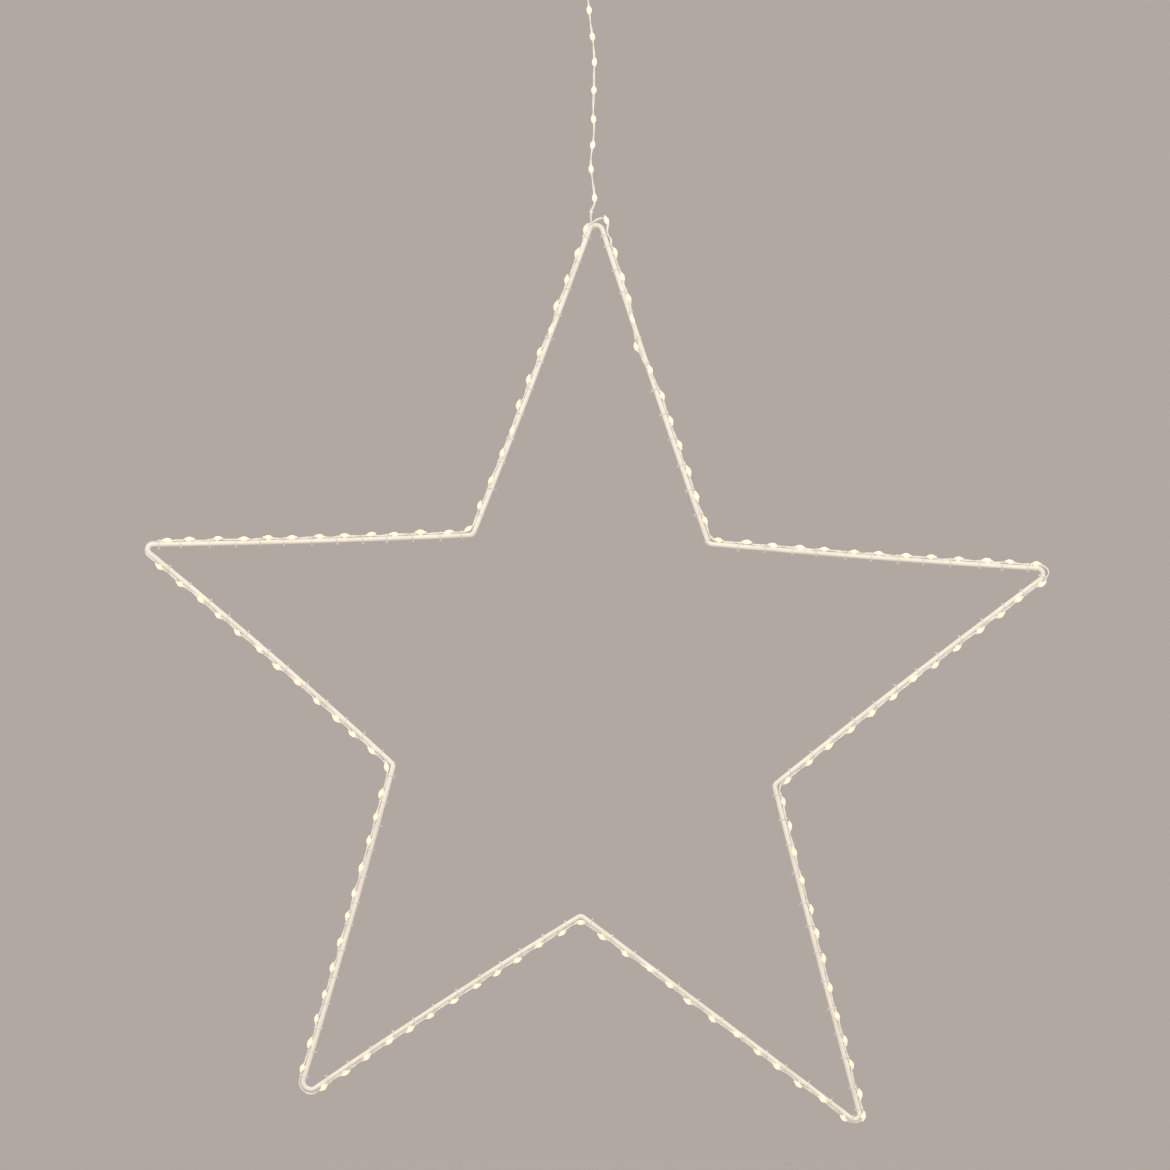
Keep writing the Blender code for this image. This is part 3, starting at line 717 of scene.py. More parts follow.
def wires_tree(wires: int) -> NodeTree:
    """Makes a tree that lays round wires along a path, twisted round each other.

    Args:
        wires: How many wires there are.

    Returns:
        The tree.
    """
    sockets = [(name, "Float") for name in ("Wire Radius", "Spread", "Twist Pitch")]
    sockets += [("Sides", "Int"), ("Facing", "Vector"), ("Material", "Material")]
    tree, given = new_tree(f"{wires} wires along a path", sockets)
    put = partial(add_output, tree)
    path, facing = put("GeometryNodeMeshToCurve", {"Mesh": given["Geometry"]}), given["Facing"]
    across = {0: facing, 1: put("GeometryNodeInputTangent")}
    side = put("ShaderNodeVectorMath", across, operation="CROSS_PRODUCT")
    length = add_node(tree, "GeometryNodeSplineParameter").outputs["Length"]
    turns = put("ShaderNodeMath", {0: length, 1: given["Twist Pitch"]}, operation="DIVIDE")
    circle = {"Resolution": given["Sides"], "Radius": given["Wire Radius"]}
    ring = put("GeometryNodeCurvePrimitiveCircle", circle)
    thickness = put("GeometryNodeInputNamedAttribute", {"Name": "thickness"}, data_type="FLOAT")
    parts = []
    for k in range(wires):
        turned = {0: turns, 1: 2 * math.pi, 2: 2 * math.pi * k / wires}
        angle = put("ShaderNodeMath", turned, operation="MULTIPLY_ADD")
        offsets = {}
        for place, direction, operation in ((0, side, "COSINE"), (1, facing, "SINE")):
            share = put("ShaderNodeMath", {0: angle}, operation=operation)
            size = put("ShaderNodeMath", {0: share, 1: given["Spread"]}, operation="MULTIPLY")
            offsets[place] = put("ShaderNodeVectorMath", {0: direction, "Scale": size}, operation="SCALE")
        offset = put("ShaderNodeVectorMath", offsets, operation="ADD")
        moved = put("GeometryNodeSetPosition", {"Geometry": path, "Offset": offset})
        swept = {"Curve": moved, "Profile Curve": ring, "Scale": thickness, "Fill Caps": True}
        parts.append(put("GeometryNodeCurveToMesh", swept))
    close_tree(tree, parts, given["Material"])
    return tree


def pieces_tree(variants: int) -> NodeTree:
    """Makes a tree that sets a piece, in one of a few variants, at every point of a path.

    Args:
        variants: How many variants the piece has.

    Returns:
        The tree.
    """
    sockets = [(f"Variant {k + 1}", "Object") for k in range(variants)]
    sockets += [("Size Spread", "Float"), ("Turn Spread", "Float")]
    sockets += [("Seed", "Int"), ("Material", "Material")]
    tree, given = new_tree(f"one of {variants} pieces at each point", sockets)
    put = partial(add_output, tree)
    axes = {}
    for name, key in (("way", "Primary Axis"), ("out", "Secondary Axis")):
        axes[key] = put("GeometryNodeInputNamedAttribute", {"Name": name}, data_type="FLOAT_VECTOR")
    along = put("FunctionNodeAxesToRotation", axes, primary_axis="Z", secondary_axis="X")

    def spread(socket: str, middle: float, seed_shift: int) -> NodeSocket:
        """Draws a random value for each point.

        Args:
            socket: The input that says how far from the middle the value may lie.
            middle: The middle.
            seed_shift: What keeps this draw apart from the others.

        Returns:
            The value.
        """
        low = put("ShaderNodeMath", {0: middle, 1: given[socket]}, operation="SUBTRACT")
        high = put("ShaderNodeMath", {0: middle, 1: given[socket]}, operation="ADD")
        seed = put("FunctionNodeIntegerMath", {0: given["Seed"], 1: seed_shift}, operation="ADD")
        draw = {"Seed": seed, 2: low, 3: high}
        return add_node(tree, "FunctionNodeRandomValue", draw, data_type="FLOAT").outputs[1]

    roll = put("ShaderNodeCombineXYZ", {"Z": spread("Turn Spread", 0.0, 1)})
    rolled = {0: along, 1: put("FunctionNodeEulerToRotation", {0: roll})}
    turned = put("FunctionNodeRotateRotation", rolled, rotation_space="LOCAL")
    size = put("ShaderNodeCombineXYZ", dict.fromkeys("XYZ", spread("Size Spread", 1.0, 2)))
    draw = {"Seed": given["Seed"], 4: 0, 5: variants - 1}
    pick = add_node(tree, "FunctionNodeRandomValue", draw, data_type="INT").outputs[2]
    parts = []
    for k in range(variants):
        variant = {"Object": given[f"Variant {k + 1}"]}
        copies = {
            "Points": given["Geometry"],
            "Selection": put("FunctionNodeCompare", {2: pick, 3: k}, data_type="INT", operation="EQUAL"),
            "Instance": add_node(tree, "GeometryNodeObjectInfo", variant).outputs["Geometry"],
            "Rotation": turned,
            "Scale": size,
        }
        parts.append(put("GeometryNodeInstanceOnPoints", copies))
    close_tree(tree, parts, given["Material"])
    return tree


def grow(name: str, seed_mesh: Mesh, tree: NodeTree, sharp_deg: float, **values: object) -> Object:
    """Runs a geometry tree on a mesh and keeps the result as a plain piece.

    Args:
        name: The piece's name.
        seed_mesh: The path or the points that the tree starts from.
        tree: The tree.
        sharp_deg: Edges that turn by more than this stay sharp.
        values: The tree's inputs, with underscores for spaces.

    Returns:
        The piece, with no modifier left on it.
    """
    start = link_object(f"{name}_path", seed_mesh)
    modifier = start.modifiers.new("nodes", "NODES")
    modifier.node_group = tree
    keys = {item.name: item.identifier for item in tree.interface.items_tree if item.in_out == "INPUT"}
    for key, value in values.items():
        modifier[keys[key.replace("_", " ")]] = value
    made = bpy.data.meshes.new_from_object(start.evaluated_get(bpy.context.evaluated_depsgraph_get()))
    made.name = name
    start.modifiers.remove(modifier)
    bpy.data.objects.remove(start)
    made.shade_smooth()
    made.set_sharp_from_angle(angle=math.radians(sharp_deg))
    return link_object(name, made)


def path_mesh(
    points: Sequence[Vector], closed: bool = False, thickness: Callable[[float], float] | None = None
) -> Mesh:
    """Makes a line of points and edges that a tree can follow.

    Args:
        points: The points.
        closed: Whether the last joins the first.
        thickness: How thick a wire is there, from its share of the path, if it isn't even.

    Returns:
        The mesh.
    """
    edges = [(i, i + 1) for i in range(len(points) - 1)]
    if closed:
        edges.append((len(points) - 1, 0))
    mesh = bpy.data.meshes.new("path")
    mesh.from_pydata([tuple(point) for point in points], edges, [])
    values = [thickness(i / (len(points) - 1)) if thickness else 1.0 for i in range(len(points))]
    mesh.attributes.new("thickness", "FLOAT", "POINT").data.foreach_set("value", values)
    return mesh


def lay_wires(
    name: str,
    path: Mesh,
    radius: float,
    sides: int,
    wires: int = 1,
    spread: float = 0.0,
    twist: float = 1.0,
    facing: Vector = FRONT,
    sharp_deg: float = 60.0,
) -> Object:
    """Lays one or more round wires along a path.

    Args:
        name: The piece's name.
        path: The path.
        radius: The radius of each wire.
        sides: How many sides it has.
        wires: How many wires there are.
        spread: How far the middle of each lies from the path.
        twist: The length in which they go once round each other.
        facing: A direction that is never along the path.
        sharp_deg: Edges that turn by more than this stay sharp.

    Returns:
        The piece.
    """
    tree = wires_tree(wires)
    sizes = {"Wire_Radius": radius, "Spread": spread, "Twist_Pitch": twist, "Sides": sides}
    return grow(name, path, tree, sharp_deg, Facing=tuple(facing), **sizes)


@dataclass(frozen=True)
class Place:
    """A place on a line: the point, the way that the line goes, and the side that counts as outwards."""

    spot: Vector
    way: Vector
    out: Vector


def places_mesh(places: Sequence[Place]) -> Mesh:
    """Makes points that know which way they face.

    Args:
        places: The places.

    Returns:
        A mesh of one point for each.
    """
    mesh = bpy.data.meshes.new("places")
    mesh.from_pydata([tuple(place.spot) for place in places], [], [])
    for name in ("way", "out"):
        values = [part for place in places for part in getattr(place, name)]
        mesh.attributes.new(name, "FLOAT_VECTOR", "POINT").data.foreach_set("vector", values)
    return mesh


def hand_in(piece: Object, finish: Finish, body: Body, *nodes: str) -> Object:
    """Dresses a piece and sets it in the frame.

    Args:
        piece: The piece.
        finish: What it is finished in.
        body: The body that it rides on.
        nodes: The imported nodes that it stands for.

    Returns:
        The piece.
    """
    material = bpy.data.materials.get(finish.name) or finish.material()
    piece.data.materials.clear()
    piece.data.materials.append(material)
    for polygon in piece.data.polygons:
        polygon.material_index = 0
    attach(piece, body.value)
    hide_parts(*nodes)
    LOG.info("%s rides on %s, %d faces", piece.name, body.value, len(piece.data.polygons))
    return piece


def set_pieces(
    name: str,
    places: Sequence[Place],
    units: Sequence[Object],
    finish: Finish,
    body: Body,
    nodes: Iterable[str],
    size_spread: float,
    turn_spread: float,
    sharp_deg: float = 80.0,
) -> Object:
    """Sets one of the unit pieces at every place, joined into one piece, and clears the units away.

    Args:
        name: The joined piece's name.
        places: The places.
        units: The pieces to choose from.
        finish: What they are finished in.
        body: The body that they ride on.
        nodes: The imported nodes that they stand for.
        size_spread: How unlike their sizes are, as a share.
        turn_spread: How far they turn about their own length, either way, in radians.
        sharp_deg: Edges that turn by more than this stay sharp.

    Returns:
        The joined piece.
    """
    values = {f"Variant_{k + 1}": unit for k, unit in enumerate(units)}
    values |= {"Size_Spread": size_spread, "Turn_Spread": turn_spread, "Seed": PIECES_SEED}
    piece = grow(name, places_mesh(places), pieces_tree(len(units)), sharp_deg, **values)
    for unit in units:
        bpy.data.objects.remove(unit)
    return hand_in(piece, finish, body, *nodes)


# The bent outline of the rod and of the string beside it


@dataclass
class Bends:
    """The rod's corners as bent by hand, clockwise from the top tip as seen from the front."""

    hung_from: Vector
    # How far the top tip's sharp corner lies below the point that the star hangs from
    corner_below: float = 0.0012
    tip_reach: float = 0.3147
    notch_reach: float = 0.1317
    tip_bend: float = 0.0040
    notch_bend: float = 0.0032
    tip_reach_shares: tuple[float, ...] = (1.019, 0.988, 1.019, 0.998, 0.983)
    tip_turns_deg: tuple[float, ...] = (0.6, 73.1, 146.9, 217.0, 290.1)
    tip_bend_shares: tuple[float, ...] = (1.10, 0.97, 0.83, 1.25, 0.80)
    notch_reach_shares: tuple[float, ...] = (0.994, 0.967, 1.006, 1.002, 1.032)
    notch_turns_deg: tuple[float, ...] = (35.3, 112.3, 182.9, 254.5, 325.9)
    # How far each leg bows inwards, as a share of the leg
    leg_bow_shares: tuple[float, ...] = (
        0.0026, 0.0036, 0.0044, 0.0015, 0.0006, 0.0066, 0.0047, 0.0067, 0.0038, 0.0031,
    )

    @property
    def centre(self) -> Vector:
        """The middle of the star, below the point that it hangs from."""
        return self.hung_from - UP * (self.corner_below + self.tip_reach * self.tip_reach_shares[0])

    def corner(self, turn_deg: float, reach: float) -> Vector:
        """Finds the point at this reach, turned clockwise from straight up."""
        turn = math.radians(turn_deg)
        return self.centre + (SIDEWAYS * math.sin(turn) + UP * math.cos(turn)) * reach

    def corners(self) -> list[Vector]:
        """Lists the sharp corners of the rod's middle line.

        Returns:
            A tip and then a notch, five times.
        """
        tips = zip(self.tip_turns_deg, self.tip_reach_shares)
        notches = zip(self.notch_turns_deg, self.notch_reach_shares)
        made = []
        for (tip_turn, tip_share), (notch_turn, notch_share) in zip(tips, notches):
            made.append(self.corner(tip_turn, self.tip_reach * tip_share))
            made.append(self.corner(notch_turn, self.notch_reach * notch_share))
        return made

    def radii(self, standoff: float, notch: float) -> list[float]:
        """Lists the bend radii this far outside the rod's middle line, with this one in the notches."""
        return [r for share in self.tip_bend_shares for r in (self.tip_bend * share + standoff, notch)]


def outward(start: Vector, end: Vector) -> Vector:
    """Finds the direction square to a leg, away from the star's inside."""
    return FRONT.cross(end - start).normalized()


def bend(corner: Vector, way_in: Vector, way_out: Vector, radius: float, steps: int) -> list[Vector]:
    """Rounds a corner between two legs.

    Args:
        corner: The sharp corner.
        way_in: The way that the leg before it goes.
        way_out: The way that the leg after it goes.
        radius: The bend's radius.
        steps: How many steps it has.

    Returns:
        The points of the bend, from leg to leg.
    """
    turn = way_in.angle(way_out)
    centre = corner + (way_out - way_in).normalized() * (radius / math.cos(turn / 2))
    first = corner - way_in * (radius * math.tan(turn / 2))
    made = []
    for i in range(steps + 1):
        part = turn * i / steps
        arc = (first - centre) * math.cos(part) + way_in * (radius * math.sin(part))
        made.append(centre + arc)
    return made


class Outline:
    """A closed outline with rounded corners and slightly bowed legs, measured from its top tip on."""

    tip_steps: int = 20
    notch_steps: int = 12
    leg_steps: int = 20
    # How far before and after a place its way is measured
    near: float = 0.00045

    def __init__(
        self,
        corners: list[Vector],
        radii: list[float],
        bows: Sequence[float],
        beside: "Outline | None" = None,
    ) -> None:
        """Lays the outline out.

        Args:
            corners: Its sharp corners.
            radii: Its bend radius at each.
            bows: How far each leg bows inwards, as a share of the leg.
            beside: The outline whose bow this one follows.
        """
        afters = [*corners[1:], corners[0]]
        self.ways = [(after - corner).normalized() for corner, after in zip(corners, afters)]
        turns = [self.ways[k - 1].angle(way) for k, way in enumerate(self.ways)]
        cuts = [radius * math.tan(turn / 2) for radius, turn in zip(radii, turns)]
        self.starts = [corner + way * cut for corner, way, cut in zip(corners, self.ways, cuts)]
        ends = [after - way * cut for after, way, cut in zip(afters, self.ways, cuts[1:] + cuts[:1])]
        self.spans = [(end - start).length for start, end in zip(self.starts, ends)]
        points: list[Vector] = []
        middles: list[int] = []
        for k, (corner, after) in enumerate(zip(corners, afters)):
            steps = self.notch_steps if k % 2 else self.tip_steps
            middles.append(len(points) + steps // 2)
            points += bend(corner, self.ways[k - 1], self.ways[k], radii[k], steps)
            bow = outward(corner, after) * (bows[k] * (after - corner).length)
            for i in range(1, self.leg_steps):
                point = self.starts[k].lerp(ends[k], i / self.leg_steps)
                points.append(point - bow * (beside or self).fullness(k, point))
        top = middles[0]
        self.points = points[top:] + points[:top]
        self.middles = [middle - top for middle in middles] + [len(points)]
        self.closed = np.array([tuple(point) for point in self.points + self.points[:1]])
        steps_between = np.linalg.norm(np.diff(self.closed, axis=0), axis=1)
        self.reach = np.concatenate([[0], np.cumsum(steps_between)])
        self.length = float(self.reach[-1])

    def fullness(self, k: int, point: Vector) -> float:
        """Says how much of a leg's bow there is beside a point: none at its ends, all of it halfway."""
        share = (point - self.starts[k]).dot(self.ways[k]) / self.spans[k]
        return max(0.0, 4 * share * (1 - share))

    def point_at(self, distance: float) -> Vector:
        """Finds the point at a distance along the outline."""
        return Vector([float(np.interp(distance % self.length, self.reach, axis)) for axis in self.closed.T])

    def at(self, distance: float) -> Place:
        """Finds the place, its way and its outward side, at a distance clockwise from the top tip."""
        way = (self.point_at(distance + self.near) - self.point_at(distance - self.near)).normalized()
        return Place(self.point_at(distance), way, FRONT.cross(way))

    def beside_leg(self, k: int, spot: Vector) -> float:
        """Measures how far along the outline the place on a leg is that lies beside a spot.

        Args:
            k: The leg.
            spot: The spot.

        Returns:
            The distance from the top tip.
        """
        leg = slice(self.middles[k], self.middles[k + 1] + 1)
        along = self.closed[leg] @ np.array(self.ways[k])
        return float(np.interp(spot.dot(self.ways[k]), along, self.reach[leg]))


# The star


# How far along each leg each drop sits, clockwise from the top tip
LEG_DROP_SHARES = (
    (0.0385, 0.126, 0.198, 0.264, 0.325, 0.402, 0.477, 0.557, 0.631, 0.705, 0.785, 0.860, 0.933),
    (0.028, 0.110, 0.187, 0.266, 0.336, 0.421, 0.495, 0.573, 0.646, 0.725, 0.809, 0.875, 0.950),
    (0.052, 0.131, 0.197, 0.270, 0.350, 0.430, 0.504, 0.579, 0.656, 0.732, 0.812, 0.883, 0.962),
    (0.052, 0.123, 0.198, 0.280, 0.367, 0.434, 0.511, 0.595, 0.676, 0.749, 0.819, 0.907, 0.970),
    (0.061, 0.140, 0.221, 0.300, 0.367, 0.445, 0.527, 0.611, 0.681, 0.754, 0.836, 0.916, 0.995),
    (0.074, 0.151, 0.231, 0.300, 0.373, 0.454, 0.536, 0.607, 0.678, 0.759, 0.839, 0.915),
    (0.092, 0.167, 0.237, 0.312, 0.391, 0.471, 0.547, 0.613, 0.691, 0.771, 0.843, 0.912, 0.994),
    (0.077, 0.152, 0.220, 0.298, 0.378, 0.454, 0.527, 0.610, 0.686, 0.756, 0.834, 0.914),
    (0.081, 0.147, 0.233, 0.313, 0.386, 0.457, 0.540, 0.616, 0.694, 0.765, 0.843, 0.926, 0.995),
    (0.087, 0.168, 0.251, 0.322, 0.400, 0.478, 0.562, 0.634, 0.706, 0.786, 0.870, 0.945),
)


@dataclass(frozen=True)
class TwistedPair:
    """Two fine wires twisted round each other: how far each lies from the middle, and one twist's length."""

    spread: float
    twist: float
    sides: int
    radius: float = 0.00029

    def lay(self, name: str, points: Sequence[Vector], body: Body, *nodes: str) -> Object:
        """Lays the pair along a line of points, on this body and in place of these nodes."""
        wires = lay_wires(name, path_mesh(points), self.radius, self.sides, 2, self.spread, self.twist)
        return hand_in(wires, SILVERED_WIRE, body, *nodes)


@dataclass
class Drop:
    """A drop of clear epoxy cast round both wires, with a lit chip in it."""

    length: float = 0.0073
    diameter: float = 0.0030
    sides: int = 10
    sharp_deg: float = 80.0
    # Its outline from end to end: along and across, with the resin drawn out along the wires
    outline_shares: tuple[Spot, ...] = (
        (-1.0, 0.14), (-0.90, 0.27), (-0.68, 0.47), (-0.50, 0.76), (-0.27, 0.96),
        (0.0, 1.0), (0.25, 0.95), (0.46, 0.76), (0.64, 0.46), (0.90, 0.27), (1.0, 0.14),
    )
    glow_reach: float = 0.0028
    chip_length: float = 0.0013
    chip_width: float = 0.0007
    chip_depth_share: float = 0.6
    dome_edge_share: float = 0.2
    dome_height_share: float = 0.25
    # How far chips turn about the wires, in radians
    chip_turn: float = 0.6

    def shell(self) -> Object:
        """Makes the cast drop with its middle at the origin and its length along Z.

        Returns:
            The helper object that the string repeats.
        """
        half = self.length / 2
        profile = [(share * self.diameter / 2, along * half) for along, share in self.outline_shares]
        profile = [(0.0, -half), *profile, (0.0, half)]
        mesh = lathe("drop_shell", profile, self.sides, Vector(), self.sharp_deg)
        glow = [math.exp(-((vertex.co.z / self.glow_reach) ** 2)) for vertex in mesh.vertices]
        mesh.attributes.new("glow", "FLOAT", "POINT").data.foreach_set("value", glow)
        return link_object("drop_shell", mesh)

    def chip(self) -> Object:
        """Makes the chip: a square carrier with a low phosphor dome on its outer face.

        Returns:
            The helper object that the string repeats.
        """
        size = Vector((self.chip_depth_share * self.chip_width, self.chip_width, self.chip_length))
        work = bmesh.new()
        bmesh.ops.create_cube(work, size=1.0)
        for vertex in work.verts:
            vertex.co = size * vertex.co
        dome = max(work.faces, key=lambda face: face.calc_center_median().x)
        bmesh.ops.inset_individual(work, faces=[dome], thickness=self.chip_width * self.dome_edge_share)
        for vertex in dome.verts:
            vertex.co.x += self.chip_width * self.dome_height_share
        return link_object("chip_unit", mesh_from("chip_unit", work))

    def set_along(
        self,
        name: str,
        places: Sequence[Place],
        body: Body,
        nodes: Sequence[str],
        unlike: float,
        turn: float,
    ) -> list[Object]:
        """Sets a drop and its chip at every place.

        Args:
            name: What the names of the two joined pieces start with.
            places: The places.
            body: The body that they ride on.
            nodes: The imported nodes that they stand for.
            unlike: How unlike the drops' sizes are, as a share.
            turn: How far the drops turn about the wires, either way, in radians.

        Returns:
            The drops and the chips.
        """
        return [
            set_pieces(f"{name}_drops", places, [self.shell()], LIT_EPOXY, body, nodes, unlike, turn),
            set_pieces(f"{name}_chips", places, [self.chip()], PHOSPHOR, body, nodes, 0.0, self.chip_turn),
        ]


@dataclass
class Tie:
    """A clear thread wound twice round rod and wires, knotted on the rod's inner side and cut short."""

    rod_radius: float
    thread: float = 0.00032
    thread_sides: int = 4
    wraps: int = 2
    pitch: float = 0.00036
    wires_out: float = 0.00236
    wires_radius: float = 0.00058
    arc_steps: int = 6
    knot_radius: float = 0.00050
    knot_sides: int = 6
    knot_grain: tuple[float, ...] = (0.0, 1.2, 0.5)
    # Where a tail starts on the knot's grain, and its two steps away from there, as shares of its length
    tail_start: float = 0.8
    tail_steps: tuple[tuple[float, ...], ...] = ((-0.5, 0.45, 0.15), (-0.35, 0.25, 0.4))
    tail_point: float = 0.8
    # How long the cut ends are on each kind of tie
    tails: tuple[float, ...] = (0.0005, 0.0009, 0.0016)
    # How far ties turn round the rod, in radians
    turn: float = 0.16
    sharp_deg: float = 60.0

    def unit(self, tail: float) -> Object:
        """Makes one tie round the origin, its rod along Z and the wires out along X.

        Args:
            tail: How long its cut ends are.

        Returns:
            The helper object that the string repeats.
        """
        work = bmesh.new()
        half = self.thread / 2
        band = belt(self.wires_out, self.rod_radius + half, self.wires_radius + half, self.arc_steps)
        wind(work, Vector(), band, self.wraps, self.pitch, half, self.thread_sides)
        knot = SIDEWAYS * -(self.rod_radius + self.thread + self.knot_radius / 2)
        grain = Vector(self.knot_grain) * self.knot_radius
        tie_knot(work, knot, grain, self.knot_radius, self.knot_sides, SIDEWAYS)
        for side in (-1, 1):
            line = [knot + grain * (side * self.tail_start)]
            for x, y, z in self.tail_steps:
                line.append(line[-1] + Vector((x, side * y, side * z)) * tail)
            tube(work, line, [half, half, half * self.tail_point], self.thread_sides, UP)
        name = f"tie_unit_{round(tail / MM * 10)}"
        return link_object(name, mesh_from(name, work, self.sharp_deg))


@dataclass(frozen=True)
class Slack:
    """A place near a tip where the string stands further out than usual, or less far."""

    tip: int
    along: float
    out: float
    reach: float


@dataclass
class StarRod:
    """The steel rod, bent into the star and welded closed."""

    bends: Bends
    diameter: float = 0.0030
    sides: int = 20

    def __post_init__(self) -> None:
        """Lays out the rod's middle line."""
        radii = self.bends.radii(0.0, self.bends.notch_bend)
        self.outline = Outline(self.bends.corners(), radii, self.bends.leg_bow_shares)

    def build(self) -> None:
        """Makes the rod, closed on itself."""
        path = path_mesh(self.outline.points, closed=True)
        rod = lay_wires("star_rod", path, self.diameter / 2, self.sides)
        hand_in(rod, POWDER_COAT, Body.STAR, "star_frame")


@dataclass
class LightString:
    """The string of lights along the rod's outer side: two fine wires, drops, and ties that hold them."""

    rod: StarRod
    knot_bottom: Vector
    # How far outside the rod's middle the string's line runs, and its bend radius in the notches
    standoff: float = 0.00266
    notch_bend: float = 0.0070
    start_before_tip: float = 0.0030
    end_stub: float = 0.0012
    pair: TwistedPair = TwistedPair(spread=0.00032, twist=0.0210, sides=6)
    path_step: float = 0.0007
    # The wires from the knot to the rod: how far they start in the knot, and how far down they bow aside
    into_knot: float = 0.0004
    lead_in_bows: tuple[Spot, ...] = ((0.4, 0.0005), (0.8, 0.0004))
    # The gap between the rod and a drop, and the stretch in which the wires go out to the drop
    drop_gap: float = 0.00005
    drop_hump: float = 0.0024
    # How far before its drop a tie sits, and the stretch in which the wires come in under it
    tie_before_drop: float = 0.0052
    tie_pinch: float = 0.0016
    tie_after_first_drop: float = 0.0075
    # How unevenly the hand left the drops: how far they stand out, roll round the rod and tilt, how unlike
    # their sizes are, and how far they turn about the wires, in radians
    stand_spread: float = 0.0004
    roll_spread_deg: float = 38.0
    tilt_spread: float = 0.16
    size_spread: float = 0.07
    turn_spread: float = 3.0
    # How far the first drop leans in towards the first leg
    first_lean: float = -0.50
    # How far the free wires wander out and to the front, and in what length
    wander: float = 0.00022
    wander_out_in: float = 0.0046
    wander_front_in: float = 0.0071
    wander_phase: float = 1.0
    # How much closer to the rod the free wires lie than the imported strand
    hug: float = 0.00044
    seed: int = 24
    # Near which tip, how far past it, how far out and how far each way
    slacks: tuple[Slack, ...] = (
        Slack(0, -0.0200, -0.0006, 0.0120),
        Slack(0, 0.0040, 0.0031, 0.0042),
        Slack(0, 0.0165, 0.0011, 0.0040),
        Slack(1, 0.0, 0.0014, 0.0045),
        Slack(2, 0.0, 0.0002, 0.0060),
        Slack(3, 0.0, 0.0006, 0.0090),
        Slack(4, 0.0, -0.0007, 0.0110),
    )
    # How far round towards the rod's front the string lies on each leg, and how long it takes to get there
    lays_deg: tuple[float, ...] = (0.0, 0.0, 20.0, 28.0, 36.0, 16.0, 6.0, 24.0, 0.0, 36.0)
    lay_way: float = 0.0240
    # Where the string strays over the rod's front: round which drop, how far round, and how long its way is
    stray_drop: int = 5
    stray_turn_deg: float = 150.0
    stray_reach: float = 0.0238
    drop: Drop = field(default_factory=Drop)

    def __post_init__(self) -> None:
        """Lays out the string's line, its drops and its ties."""
        self.tie = Tie(self.rod.diameter / 2)
        self.lay_line()
        self.space_out()
        self.unsettle()

    def lay_line(self) -> None:
        """Lays the string's line outside the rod, and finds how far round to the front it lies where."""
        bends = self.rod.bends
        corners = bends.corners()
        moved = []
        for before, corner, after in zip([corners[-1], *corners], corners, [*corners[1:], corners[0]]):
            side_a, side_b = outward(before, corner), outward(corner, after)
            moved.append(corner + (side_a + side_b) * (self.standoff / (1 + side_a.dot(side_b))))
        radii = bends.radii(self.standoff, self.notch_bend)
        self.line = Outline(moved, radii, bends.leg_bow_shares, beside=self.rod.outline)
        bends_at = [float(self.line.reach[middle]) for middle in self.line.middles]
        self.tips = bends_at[:-1:2]
        self.lays: list[Spot] = []
        for start, end, lay in zip(bends_at, bends_at[1:], self.lays_deg):
            self.lays += [(start, 0.0), (start + self.lay_way, lay), (end - self.lay_way, lay)]

    def space_out(self) -> None:
        """Finds how far along the line each drop and each tie sits."""
        corners = self.rod.bends.corners()
        drops = []
        for k, shares in enumerate(LEG_DROP_SHARES):
            start, end = corners[k], corners[(k + 1) % len(corners)]
            drops += [self.line.beside_leg(k, start.lerp(end, share)) for share in shares]
        self.drops = np.array(drops)
        first = [-self.start_before_tip, drops[0] + self.tie_after_first_drop]
        self.ties = np.array(first + [drop - self.tie_before_drop for drop in drops[1:]])

    def unsettle(self) -> None:
        """Draws how far out and to the front the hand left each drop, and how it leans."""
        uneven = random.Random(self.seed)
        close = self.rod.diameter / 2 + self.drop_gap + self.drop.diameter / 2
        offs = [close + self.stand_spread * uneven.random() ** 2 for _ in self.drops]
        rolls = [math.radians(uneven.uniform(-1, 1) * self.roll_spread_deg) for _ in self.drops]
        self.stands = [off * math.cos(roll) - self.standoff for off, roll in zip(offs, rolls)]
        self.fronts = [off * math.sin(roll) for off, roll in zip(offs, rolls)]
        self.leans = [[uneven.uniform(-1, 1) * self.tilt_spread for _ in range(2)] for _ in self.drops]
        self.leans[0] = [self.first_lean, 0.0]

    def slack(self, distance: float) -> float:
        """Measures how much further out than usual the string stands.

        Args:
            distance: How far along the string.

        Returns:
            The extra distance, less than zero where the string lies closer to the rod.
        """
        total = 0.0
        for slack in self.slacks:
            off = distance - self.tips[slack.tip] - slack.along
            off -= self.line.length * round(off / self.line.length)
            total += slack.out * math.exp(-((off / slack.reach) ** 2))
        return total

    def side(self, distance: float) -> Place:
        """Finds the place that the string is bound to: outside the rod, or round towards its front.

        Args:
            distance: How far along the string.

        Returns:
            The place, whose outward side is the side of the rod that the string lies on.
        """
        place = self.line.at(distance)
        off = (distance - self.drops[self.stray_drop]) / self.stray_reach
        lay = float(np.interp(distance, *zip(*self.lays), period=self.line.length))
        turn = math.radians(lay + (self.stray_turn_deg - lay) * math.exp(-(off**2)))
        out = place.out * math.cos(turn) + FRONT * math.sin(turn)
        return Place(place.spot + (out - place.out) * self.standoff, place.way, out)

